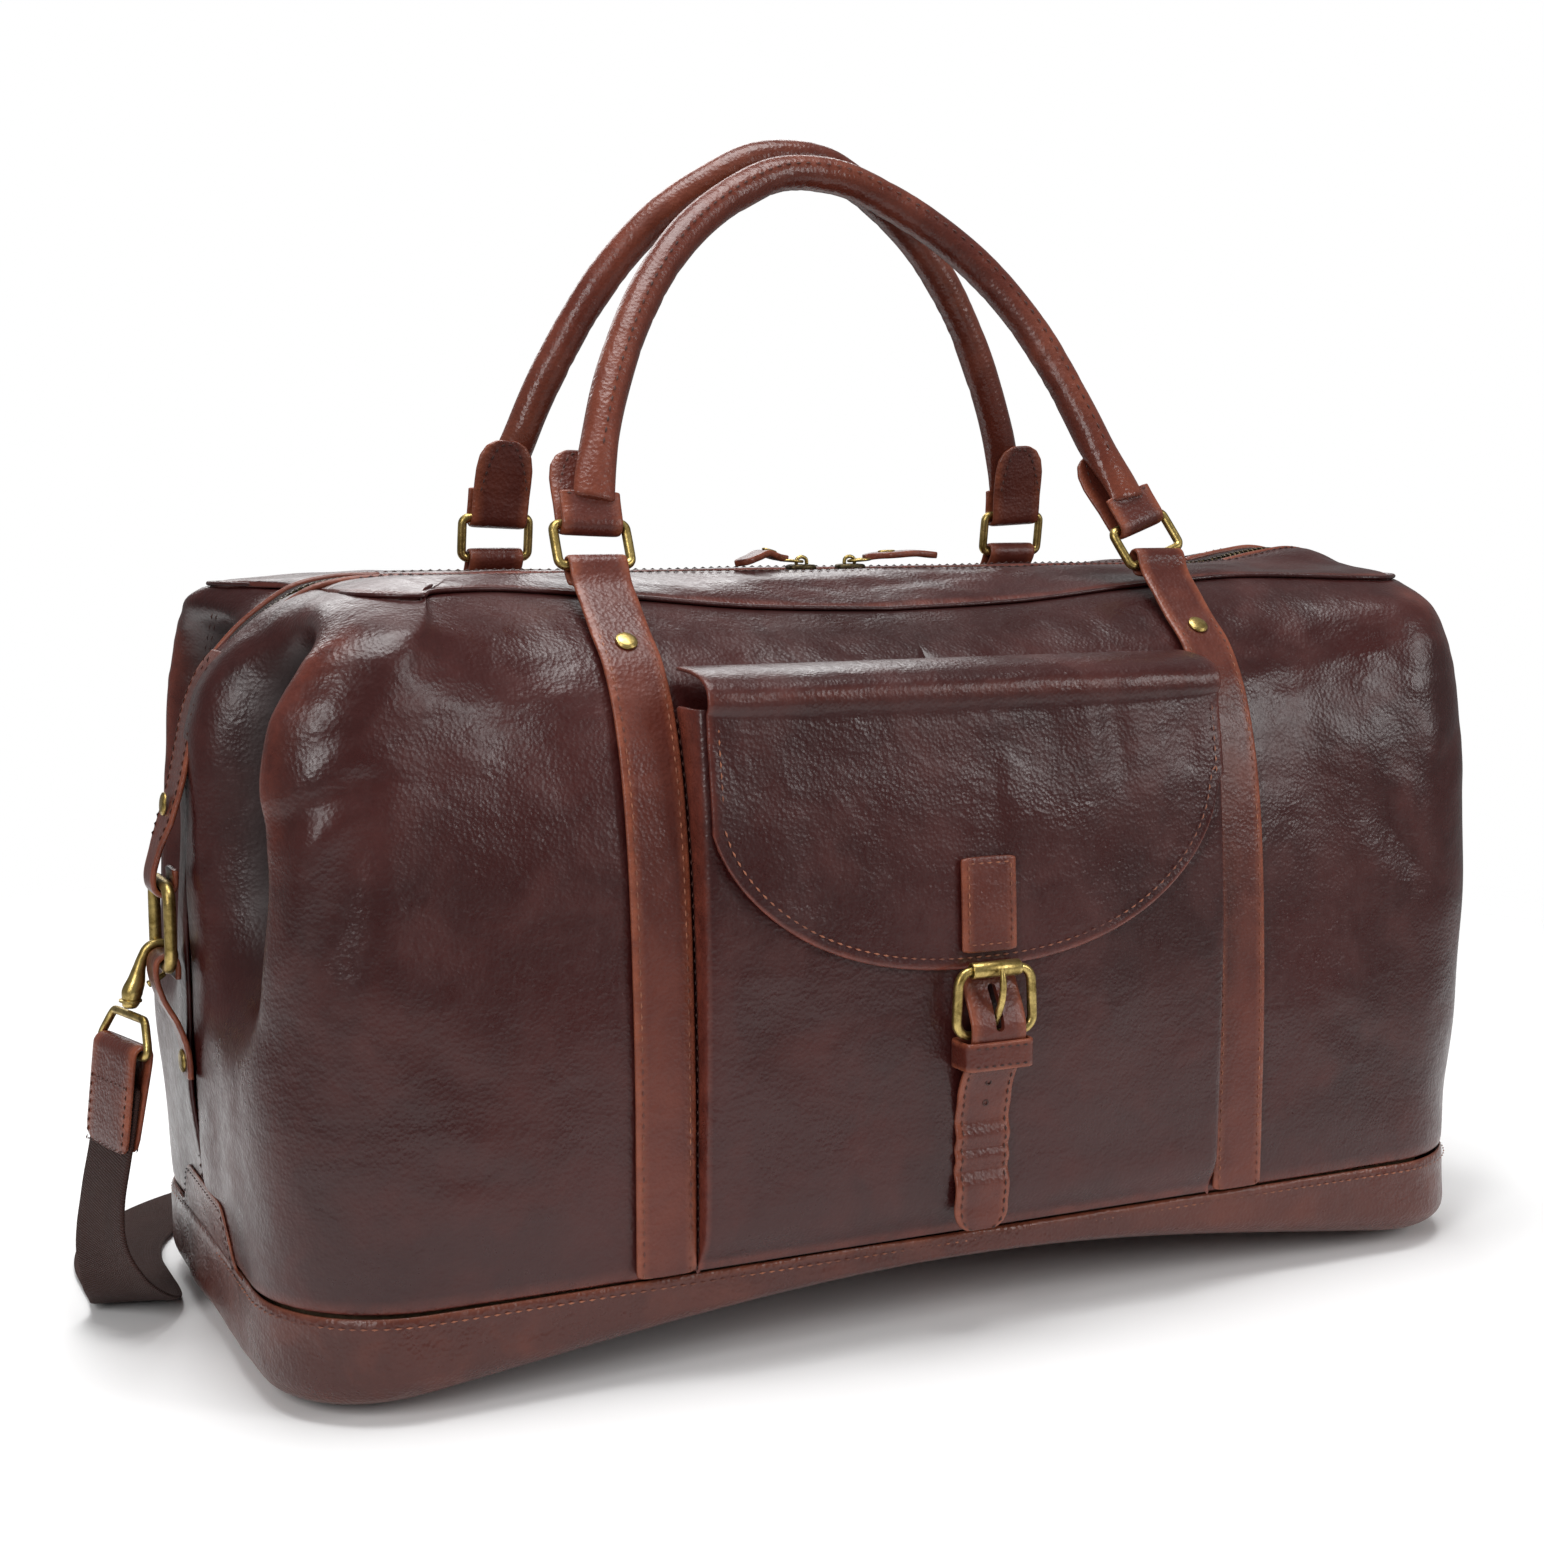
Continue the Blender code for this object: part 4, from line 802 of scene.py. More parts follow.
def make_base():
    """The tray: a floor, a rounded edge that sags a little at the corners, and a stitched rim."""
    half_length = through(0, END_X)
    rings = [(0.110, 0.0), (0.08, 0.0), (0.045, 0.0), (0.022, 0.0)]
    for a in np.linspace(0, np.pi / 2, 9):
        rings.append((SOFT_EDGE * (1 - np.sin(a)), SOFT_EDGE * (1 - np.cos(a))))
    rings += [(0, z) for z in np.linspace(0.021, SEAM_Z - 0.0036, 6)]
    rings += [(0.0002, SEAM_Z - 0.0024), (0.0006, SEAM_Z - 0.0010), (0.0012, SEAM_Z - 0.0006)]
    loops = []
    for inset, z in rings:
        corner = max(CORNER_BOTTOM - inset, 0.004)
        loops.append(full_plan(half_length - inset, HALF_DEPTH - inset - 0.0003, corner, z))
    grid = np.array(loops)
    outward = unit(grid[-5] * (1, 1, 0))
    rise = ease(grid[..., 2] / 0.01) * ease((SEAM_Z + 0.001 - grid[..., 2]) / 0.006)
    bulge = 0.0008 + 0.0007 * waves(grid, 0.05, 21) + 0.0003 * waves(grid, 0.014, 22)
    grid = grid + outward[None] * (bulge * rise)[..., None]
    grid[..., 2] += bow_of(grid[..., 0], grid[..., 1]) * np.clip(1 - grid[..., 2] / SEAM_Z, 0, 1)
    count, sides = grid.shape[:2]
    faces = grid_faces(count, sides, True) + [tuple(range(sides))]
    edge = np.zeros(grid.shape[:2]) + 0.85 * bell(grid[..., 2] - SEAM_Z, 0.0018)
    edge += 0.35 * bell(grid[..., 2] - 0.004, 0.005)
    made = piece("base_leather", grid.reshape(-1, 3), faces, SOLE, "bag", ("base_tray",),
                 {"edge": np.clip(edge, 0, 1)}, ((0, -HALF_DEPTH, 0.02), (0, -1, 0)), 60)
    finish_with(made, LEATHER, 1)
    rim = full_plan(half_length + 0.0006, HALF_DEPTH + 0.0004, CORNER_BOTTOM, SEAM_Z - 0.0042)
    rim = np.concatenate([rim, rim[:1]])
    stitches("base_stitching", [(rim, unit(rim * (1, 1, 0) + (0, 0, 1e-6)))], STITCH, "bag")
    corners = []
    for side in (-1, 1):
        # A leather patch reinforces the foot of each end.
        ys = np.linspace(-0.062, 0.062, 33)
        rows = []
        for t in np.linspace(0, 1, 9):
            top = SEAM_Z + 0.0008 + 0.0215 * ease((0.052 - np.abs(ys)) / 0.022)
            z = SEAM_Z - 0.001 + (top - SEAM_Z) * t
            level = np.clip((z - SEAM_Z) / 0.262, 0, 1)
            rows.append(np.stack([side * (through(level, END_X) + 0.0012), ys, z], 1))
        patch = np.array(rows)
        skin(f"end_patch_{'left' if side < 0 else 'right'}", patch, 0.0011, SOLE, "bag",
             (side, 0, 0), (), {"edge": np.tile(np.linspace(0, 1, 9)[:, None] ** 6, (1, 33))})
        corners.append((patch[-1] + (side * 0.0003, 0, -0.0022), (side, 0, 0)))
    stitches("end_patch_stitching", corners, DARK_STITCH, "bag")


def make_top():
    """The gussets with their piped seams, the zip's tapes and its teeth."""
    for side, label in ((-1, "front"), (1, "back")):
        across = np.concatenate([[0, 0.02, 0.05], np.linspace(0.1, 0.9, 12), [0.95, 0.985, 1]])
        rim = wall_loop(1.0, (24, 14, 96), side)
        rim = evenly(rim[rim[:, 1] > ZIP_HALF], 120)
        share_along = np.linspace(0, 1, 120)
        zip_x = rim[0, 0] + (rim[-1, 0] - rim[0, 0]) * share_along
        zip_level = np.interp(zip_x, ZIP_RUN_X, ZIP_RUN_Z)
        zip_level[[0, -1]] = rim[[0, -1], 2]
        rows = []
        for share in across:
            x = rim[:, 0] + (zip_x - rim[:, 0]) * share
            y = rim[:, 1] - 0.0012 + (ZIP_HALF - rim[:, 1] + 0.0012) * share
            z = rim[:, 2] + 0.0010 + (zip_level - rim[:, 2] - 0.0010) * ease(share * 0.9 + 0.1)
            puff = 0.0024 * np.sin(np.pi * share) ** 0.7 + 0.0010 * bell(share - 0.95, 0.05)
            spot = np.stack([x, y * 1.6], 1)
            wrinkle = 0.0009 * waves(spot, 0.040, 31 + side) + 0.0004 * waves(spot, 0.014, 35 + side)
            away = ease(share_along / 0.06) * ease((1 - share_along) / 0.06)
            z = z + (puff + wrinkle * np.sin(np.pi * share)) * away - 0.0016 * bell(share, 0.035)
            rows.append(np.stack([x, side * y, z], 1))
        grid = np.array(rows)
        wear = np.array([bell(s - 1, 0.03) + 0.6 * bell(s - 0.03, 0.03) for s in across])
        skin(f"top_{label}_gusset", grid, LEATHER, HIDE, "bag", (0, 0, 1),
             (f"top_gusset_{label}",), {"edge": np.tile(np.clip(wear, 0, 1)[:, None], (1, 120))})
        lip = np.stack([rim[:, 0], side * (rim[:, 1] - 0.0002), rim[:, 2] + 0.0006], 1)[6:-6]
        wire(f"top_seam_{label}", lip, 0.0011, (0, 0, 1), HIDE, "bag", (), False, 8)
        stitches(f"zip_stitching_{label}", [(grid[-4] + (0, 0, 0.0004), (0, 0, 1))], DARK_STITCH, "bag",
                 0.0040)
        for end, run in (("left", ZIP_RUN[:9]), ("right", ZIP_RUN[-8:])):
            track = smooth_path([(x, side * 0.0148, z + 0.0004) for x, z in run], 50)
            wire(f"zip_piping_{label}_{end}", track, 0.0016, (0, 1, 0), PIPING, "bag", (),
                 False, 10)
        track = smooth_path([(x, side * 0.0081, z - 0.0002) for x, z in ZIP_RUN], 130)
        strap(f"zip_{label}_tape", track, (0, 1, 0), 0.0100, 0.0010, TAPE, "bag",
              (f"zip_tape_{label}",), rounds=0)
    points, faces = [], []
    track = smooth_path([(x, 0, z) for x, z in ZIP_RUN], 400)
    run, way = run_of(track), tangents_of(track)
    pitch = 0.0027
    count = int(run[-1] / pitch) - 1
    box = np.array([(i, j, k) for i in (-1, 1) for j in (-1, 1) for k in (-1, 1)], float)
    taper = np.where(box[:, 2:] > 0, 0.72, 1.0)
    tooth = box * (0.00055, 0.0019, 0.0009) * np.hstack([taper, taper, np.ones((8, 1))])
    sides = ((0, 1, 3, 2), (4, 6, 7, 5), (0, 4, 5, 1), (2, 3, 7, 6), (0, 2, 6, 4), (1, 5, 7, 3))
    for k in range(count):
        for side in (-1, 1):
            at = (k + 1 + side / 4) * pitch
            middle = np.array([np.interp(at, run, axis) for axis in track.T]) + (0, side * 0.0012, 0)
            along = unit([np.interp(at, run, axis) for axis in way.T])
            up = np.cross(along, (0, 1, 0))
            up = up * np.sign(up[2] + 1e-9)
            base = len(points)
            points += [middle + along * i + np.array([0, j, 0]) + up * h for i, j, h in tooth]
            faces += [tuple(base + i for i in side_face) for side_face in sides]
    piece("zip_teeth_row", points, faces, DARK_BRASS, "bag", ("zip_teeth",))


def make_sliders():
    """Two sliders nose to nose, each with a bridge, a ring and a leather pull with an eyelet."""
    level = zip_z(0.0)
    for name, side in (("left", -1), ("right", 1)):
        x = side * SLIDER_X
        body = f"slider_{name}"
        outline = np.array([(-0.0068, 0.0030), (-0.0060, 0.0042), (0.0, 0.0054), (0.0058, 0.0036),
                            (0.0066, 0.0020),
                            (0.0066, -0.0020), (0.0058, -0.0036), (0.0, -0.0054), (-0.0060, -0.0042),
                            (-0.0068, -0.0030)])
        outline[:, 0] *= -side
        sections = [
            np.column_stack([x + outline[:, 0] * s, outline[:, 1] * s, np.full(10, level + h)])
            for s, h in ((0.90, 0.0005), (0.99, 0.0009), (1.0, 0.0014), (1.0, 0.0022), (0.95, 0.0028),
                         (0.80, 0.0032))
        ]
        lofted(f"slider_{name}", sections, DARK_BRASS, body, (f"zip_slider_{name}",), None,
               False, 1)
        arch = smooth_path([(x - 0.0026, 0, level + 0.0030), (x - 0.0022, 0, level + 0.0054),
                            (x, 0, level + 0.0064),
                            (x + 0.0022, 0, level + 0.0054), (x + 0.0026, 0, level + 0.0030)], 20)
        wire(f"slider_bridge_{name}", arch, 0.0009, (0, 1, 0), BRASS, body,
             (f"zip_bridge_{name}",), False, 10)
        start = np.array((x + side * 0.0062, 0, level + 0.0052))
        turn = np.linspace(0, 2 * np.pi, 25)[:-1]
        ring = [(x + side * 0.0050 + 0.0052 * np.cos(a), 0.0036 * np.sin(a),
                 level + 0.0047 + side * 0.0004 * np.cos(a))
                for a in turn]
        wire(f"pull_ring_{name}", ring, 0.0007, (0, 0, 1), BRASS, body, ())
        droop = -0.0075 if side < 0 else -0.001
        reach = 0.030 if side < 0 else 0.037
        path = smooth_path([start + (side * 0.001, 0, 0.0004), start + (side * 0.006, droop * 0.1, 0.0012),
                            start + (side * 0.014, droop * 0.5, 0.0030 if side < 0 else 0.0016),
                            start + (side * reach * 0.72, droop * 1.2, 0.0014 if side < 0 else 0.0022),
                            start + (side * reach, droop * 1.9, -0.0008 if side < 0 else 0.0012)], 26)
        width = np.interp(np.linspace(0, 1, 26), (0, 0.08, 0.26, 0.7, 0.93, 1),
                          (0.0046, 0.0048, 0.0110, 0.0110, 0.0100, 0.0066))
        strap(f"pull_leather_{name}", path, (0, 1, 0), width, 0.0030, TRIM, f"pull_{name}",
              (f"zip_pull_{name}",))
        _, side_way, up = frames_of(path, (0, 1, 0))
        up = up * np.sign(up[:, 2:])
        spot = path[8] + up[8] * 0.0017
        along = tangents_of(path)[8]
        eyelet = [spot + along * 0.0036 * np.cos(a) + side_way[8] * 0.0020 * np.sin(a) for a in turn]
        wire(f"pull_eyelet_{name}", eyelet, 0.0006, up[8], BRASS, f"pull_{name}", ())


# ---- handles --------------------------------------------------------------------------------------
def strap_path(side, x):
    stand = GAP * 2 + STRAP_THICK / 2
    points = [off_panel(x, level, stand) for level in (0.004, 0.06, *STRAP_LEVELS)]
    points += [off_panel(x, level, stand + GAP) for level in (0.905, 0.94)]
    radius = RING_WIRE + GAP + STRAP_THICK / 2
    points += [(0.0775, 0.3010), (0.0705, 0.3080)]
    for a in np.radians(np.linspace(0, 225, 11)):
        points.append((RING_Y + radius * np.cos(a), RING_Z + radius * np.sin(a)))
    points += [(0.0640, 0.3080), (0.0660, 0.3062)]
    return smooth_path([(x, side * y, z) for y, z in points], 110)


def lean_frame(side, lean):
    up = np.array([0, -side * np.sin(lean), np.cos(lean)])
    out = np.array([0, side * np.cos(lean), np.sin(lean)])
    foot = np.array([0, side * RING_Y, RING_Z])
    return up, out, foot


def make_straps_and_rings():
    for name, side, lean in (("front", -1, FRONT_LEAN), ("back", 1, BACK_LEAN)):
        up, out, foot = lean_frame(side, lean)
        for end, x in (("left", -STRAP_X), ("right", STRAP_X)):
            path = strap_path(side, x)
            strap(f"strap_{name}_{end}", path, (1, 0, 0), STRAP_WIDTH, STRAP_THICK, TRIM, "bag",
                  (f"handle_strap_{name}_{end}",))
            seen = path[path[:, 2] < 0.306][:90]
            lines = []
            for offset in (-1, 1):
                line, normal = beside(seen, (1, 0, 0), offset * (STRAP_WIDTH / 2 - 0.0028), 0)
                normal = normal * np.sign((normal * (0, side, 0.3)).sum(axis=1, keepdims=True))
                lines.append((line + normal * (STRAP_THICK / 2 + 0.0001), normal))
            stitches(f"strap_stitching_{name}_{end}", lines, STITCH, "bag")
            stand = GAP * 3 + STRAP_THICK + 0.0003
            y, z = off_panel(x, RIVET_LEVEL, stand)
            y_out, z_out = off_panel(x, RIVET_LEVEL, stand + 0.01)
            rivet(f"rivet_{name}_{end}", (x, side * y, z), (0, side * (y_out - y), z_out - z), 0.0045, "bag",
                  (f"strap_rivet_{name}_{end}",))
            tilt = FRONT_RIGHT_TILT if (name, end) == ("front", "right") else 0.0
            loop = rounded_loop(RING_WIDE / 2, RING_TALL / 2, RING_CORNER, 7) + (0, RING_TALL / 2)
            turned_loop = loop @ np.array([[np.cos(tilt), np.sin(tilt)], [-np.sin(tilt), np.cos(tilt)]])
            ring = [foot + np.array([x + u, 0, 0]) + up * (v + 0.0016 * np.sin(tilt)) for u,
                    v in turned_loop]
            wire(f"ring_{name}_{end}", ring, RING_WIRE * 1.04, out, BRASS, f"ring_{name}_{end}",
                 (f"handle_ring_{name}_{end}",), True, 14)


def make_handles():
    """Rolled handles: a creased tube whose ends spread over stitched tongues that fold round the rings."""
    for name, side, lean, tall in (("front", -1, FRONT_LEAN, 1.0), ("back", 1, BACK_LEAN, BACK_RISE)):
        up, out, foot = lean_frame(side, lean)
        body = f"handle_{name}"
        arch = [(x, HANDLE_ARCH[0][1] + (rise - HANDLE_ARCH[0][1]) * tall) for x, rise in HANDLE_ARCH]
        half = [(0.1318, 0.0262), (0.1308, 0.0310)] + arch
        right = [(x - np.tan(FRONT_RIGHT_TILT) * 0.0235 * (1 - ease((r - 0.045) / 0.09)), r) for x,
                 r in half]
        whole = [(-x, r) for x, r in half] + (right if side < 0 else half)[-2::-1]
        flat_path = smooth_path([(x, 0, r) for x, r in whole], 240)
        run = run_of(flat_path)
        from_end = np.minimum(run, run[-1] - run)
        spread = 1 - ease(from_end / 0.034)
        wide = HANDLE_RADIUS * (1.0 + 0.12 * spread)
        thick = HANDLE_RADIUS * (1 - 0.60 * spread)
        forward = 0.0034 * spread + 0.0012
        centres = np.array([foot + (x, 0, 0) + up * r + out * f for (x, _, r), f in zip(flat_path, forward)])
        tangent = tangents_of(centres)
        across = unit(np.cross(tangent, out))
        normal = unit(np.cross(tangent, across))
        middle_x, middle_r = 0.0, 0.07
        rng = np.random.default_rng(5 + side)
        folds = rng.uniform(0.05, run[-1] - 0.05, 46)
        strength = rng.uniform(0.3, 1.0, 46)
        tilt = rng.uniform(-0.5, 0.5, 46)
        sections, edge = [], []
        for k in range(len(centres)):
            ring = []
            inward = np.array([middle_x - flat_path[k, 0], middle_r - flat_path[k, 2]])
            inward_way = np.array([inward[0], 0, 0]) + up * inward[1]
            inner_sign = np.sign(across[k] @ inward_way)
            for turn in np.arange(16) * 2 * np.pi / 16:
                inner = max(0, np.cos(turn) * inner_sign)
                face = 0.35 + 0.65 * inner
                groove = (strength * bell(run[k] - folds - tilt * 0.006 * np.sin(turn), 0.0011)).sum()
                shrink = 0.00042 * min(groove, 1.2) * face * (1 - spread[k])
                lump = 0.00010 * np.sin(run[k] * 140 + 2 * turn) + 0.00012 * np.sin(run[k] * 61 - turn)
                ring.append(centres[k] + (wide[k] - shrink + lump) * np.cos(turn) * across[k]
                            + (thick[k] - shrink + lump) * np.sin(turn) * normal[k])
                edge.append(0.30 * (1 - inner) * (0.5 + 0.5 * np.sin(run[k] * 40 + side)) + 0.25 * spread[k])
            sections.append(ring)
        lofted(f"grip_{name}", sections, GRIP, body, (f"handle_{name}",),
               {"edge": np.clip(edge, 0, 1)}, False, 1)
        seam_side = -side
        seam = [c + n * (t + 0.0002) * seam_side * np.sign(n @ (out * seam_side)) for c, n, t in
                zip(centres, normal, thick)][12:-12]
        seam_way = [n * seam_side * np.sign(n @ (out * seam_side)) for n in normal][12:-12]
        stitches(f"grip_stitching_{name}", [(seam, seam_way)], DARK_STITCH, body, 0.0050)
        fold = RING_WIRE + 0.0006 + 0.0012
        for end, x in (("left", -1), ("right", 1)):
            half_turn = np.radians(np.linspace(180, 360, 9))
            line = [(0.0305, fold * 1.1), (0.026, fold), (RING_TALL + 0.003, fold)]
            line += [(RING_TALL + fold * np.sin(a), -fold * np.cos(a + np.pi)) for a in half_turn[::-1]]
            line += [(RING_TALL + 0.003, -fold), (0.028, -fold), (0.034, -fold * 1.15), (0.040, -fold * 1.3),
                     (0.046, -fold * 1.35), (0.0505, -fold * 1.35), (0.0530, -fold * 1.35)]
            rises = np.array([r for r, _ in line])
            tilt = FRONT_RIGHT_TILT if (name, end) == ("front", "right") else np.radians(3)
            slide = 0.1345 - np.tan(tilt) * rises
            path = np.array([foot + (x * s, 0, 0) + up * r + out * o for (r, o), s in zip(line, slide)])
            widthways = np.array([np.cos(tilt), 0, 0]) + up * np.sin(tilt) * x
            shape = np.interp(rises[-7:], (0.021, 0.038, 0.044, 0.0485, 0.0515, 0.0530),
                              (0.0262, 0.0266, 0.0256, 0.0222, 0.0165, 0.0090))
            widths = np.concatenate([np.full(len(line) - 7, 0.0258), shape])
            dense = evenly(path, 72)
            share = run_of(path) / run_of(path)[-1]
            width = np.interp(np.linspace(0, 1, 72), share, widths)
            strap(f"tongue_{name}_{end}", dense, widthways, width, 0.0024, TRIM, body, ())
            lines = []
            top = np.linspace(-1, 1, 40)
            rise = 0.0298 + 0.0215 * (1 - np.abs(top) ** 2.6)
            middle = 0.1345 - np.tan(tilt) * rise
            for offset, way in ((-fold * 1.35 - 0.0014, -1), (-fold * 1.35 + 0.0014, 1)):
                curve = [foot + (x * m + u * 0.0108, 0, 0) + up * r + out * offset for u, r,
                         m in zip(top, rise, middle)]
                lines.append((curve, out * way))
            bar_middle = foot + (x * (0.1345 - np.tan(tilt) * 0.0288), 0, 0) + up * 0.0288
            bar = [bar_middle + widthways * u * 0.0108 + out * (fold * 1.05 + 0.0014) for u in top]
            lines.append((bar, out))
            stitches(f"tongue_stitching_{name}_{end}", lines, DARK_STITCH, body, 0.0036,
                     0.0026)


# ---- pocket ---------------------------------------------------------------------------------------
def make_pocket():
    """A patch pocket with turned edges; its side walls are red where the leather is folded."""
    xs = [(POCKET_LEFT, 0), (POCKET_LEFT, 0.3), (POCKET_LEFT, 0.6), (POCKET_LEFT + 0.0006, 0.88),
          (POCKET_LEFT + 0.0024, 1)]
    xs += [(x, 1) for x in np.linspace(POCKET_LEFT + 0.006, POCKET_RIGHT - 0.006, 44)]
    xs += [(POCKET_RIGHT - 0.0024, 1), (POCKET_RIGHT - 0.0006, 0.88), (POCKET_RIGHT, 0.6),
           (POCKET_RIGHT, 0.3), (POCKET_RIGHT, 0)]
    rows = [(SEAM_Z + 0.0012, 0), (SEAM_Z + 0.0012, 0.4), (SEAM_Z + 0.0018, 0.75), (0.0455, 0.93),
            (0.0485, 1)]
    rows += [(z, 1) for z in np.linspace(0.053, POCKET_TOP, 44)]
    grid, edge = [], []
    for z, lift in rows:
        for x, out in xs:
            back = front_y(x, z) + 0.0012
            fill = min(out, lift)
            y = back + (face_y(z) - back) * fill
            here = np.array([x, -y, z])
            inside = ease((0.5 - abs(x / 0.24)) * 8) * ease((z - 0.05) / 0.02)
            lump = 0.0012 * waves(here, 0.085, 41) + 0.0005 * waves(here, 0.030, 42)
            sag = -0.0012 * bell(x + 0.02, 0.07) * bell(z - 0.10, 0.05)
            calm = 1 - 0.8 * ease((z - 0.15) / 0.03) - 0.2 * bell(x, 0.02)
            grid.append(here - np.array([0, 1, 0]) * min((lump + sag) * calm, 0.0010) * inside * (fill == 1))
            edge.append(0.55 * (0.5 < out < 1) + 0.85 * (out < 0.5) + 0.4 * (0.5 < lift < 1))
    grid = np.array(grid).reshape(len(rows), len(xs), 3)
    skin("pocket_leather", grid, 0.0018, HIDE, "bag", (0, -1, 0), ("pocket",),
         {"edge": np.clip(edge, 0, 1)})
    lines = []
    zs = np.linspace(0.05, 0.258, 60)
    for x in (POCKET_LEFT - 0.0004, POCKET_RIGHT + 0.0004):
        way = (np.sign(x), 0, 0)
        lines.append((np.stack([np.full(60, x), -(front_y(x, zs) + 0.0032), zs], 1), way))
    stitches("pocket_side_stitching", lines, DARK_STITCH, "bag")


def flap_low(x):
    middle = -0.003
    return 0.226 - 0.071 * np.sqrt(np.clip(1 - np.abs((x - middle) / 0.1165) ** 2.3, 0, 1)) ** 1.1


def flap_point(x, t, low):
    top = 0.262
    if t <= 0.3:
        angle = t / 0.3 * np.pi / 2
        y = FLAP_ROOT_Y - (0.1355 + FLAP_ROOT_Y) * np.sin(angle) ** 0.8
        z = top + (FLAP_ROOT_Z - top) * np.cos(angle) ** 0.6
        return np.array([x, y, z]), unit((0, -np.sin(angle), np.cos(angle)))
    k = (t - 0.3) / 0.7
    z = top + (low - top) * k
    y = -(face_y(z) + 0.0014 + 0.0006 * ease(1 - k * 4))
    return np.array([x, y, z]), np.array([0, -1.0, 0])


def make_flap():
    """The flap: its fold over the pocket's top is creased, and its curved edge is bound and stitched."""
    xs = np.linspace(-0.118, 0.117, 84)
    ts = np.concatenate([np.linspace(0, 0.3, 12), np.linspace(0.325, 0.98, 36), [1.0]])
    grid, edge = [], []
    for t in ts:
        for x in xs:
            low = flap_low(x)
            point, normal = flap_point(x, t, low)
            drape = ease((t - 0.22) / 0.06) * ease((0.75 - t) / 0.3)
            fine = 0.00030 * waves(np.array([x, point[2] * 0.22]), 0.011, 57) * drape
            calm = ease((1 - t) / 0.06) * (1 - bell(x, 0.022) * ease((t - 0.6) / 0.1))
            lump = (0.0008 * waves(point, 0.06, 51) + 0.0003 * waves(point, 0.02, 52)) * ease(t / 0.2) * calm
            lift = max(lump + fine, -0.0002)
            border = bell((point[2] - low), 0.0022) if t > 0.3 else 0
            grid.append(point + normal * (FLAP_THICK + lift + 0.0004 * border))
            edge.append(min(1,
                            0.9 * (t > 0.985) + 0.5 * bell(x - xs[0], 0.002) + 0.5 * bell(x - xs[-1], 0.002)
                            + 0.30 * bell(t - 0.27, 0.025)))
    grid = np.array(grid).reshape(len(ts), len(xs), 3)
    skin("flap_leather", grid, FLAP_THICK, HIDE, "flap", (0, -1, 0), ("pocket_flap",),
         {"edge": edge})
    low = flap_low(xs)
    curve = np.stack([xs, -(face_y(low) + 0.0014 + FLAP_THICK + 0.0006), low], 1)
    tangent = tangents_of(curve)
    inward = unit(np.cross(tangent, (0, -1, 0)))
    inward *= np.sign(inward[42, 2])
    lines = []
    for inset in (0.0046,):
        line = curve + inward * inset
        line[:, 0] = np.clip(line[:, 0], xs[0] + inset, xs[-1] - inset)
        lines.append((line, (0, -1, 0)))
    for x in (xs[0] + 0.0046, xs[-1] - 0.0046):
        zs = np.linspace(0.2265, 0.256, 20)
        lines.append((np.stack([np.full(20, x), -(face_y(zs) + 0.0014 + FLAP_THICK + 0.0008), zs], 1),
                      (0, -1, 0)))
    stitches("flap_stitching", lines, STITCH, "flap")
    zs = np.linspace(0.2, 0.1615, 24)
    path = np.stack([0 * zs, -(face_y(zs) + 0.0014 + FLAP_THICK + 0.0005 + 0.0013), zs], 1)
    strap("flap_tab", path, (1, 0, 0), 2 * BILLET_HALF, 0.0024, TRIM, "flap",
          ("flap_billet",))
    front = path[:, 1].mean() - 0.0015
    box = [(-0.0097, 0.165), (-0.0097, 0.1974), (0.0097, 0.1974), (0.0097, 0.165), (-0.0097, 0.165)]
    lines = []
    for (x0, z0), (x1, z1) in zip(box, box[1:]):
        line = np.linspace((x0, front, z0), (x1, front, z1), 12)
        line[:, 1] = np.interp(line[:, 2], zs[::-1], path[::-1, 1]) - 0.0014
        lines.append((line, (0, -1, 0)))
    stitches("flap_tab_stitching", lines, STITCH, "flap", 0.0036, 0.0027)


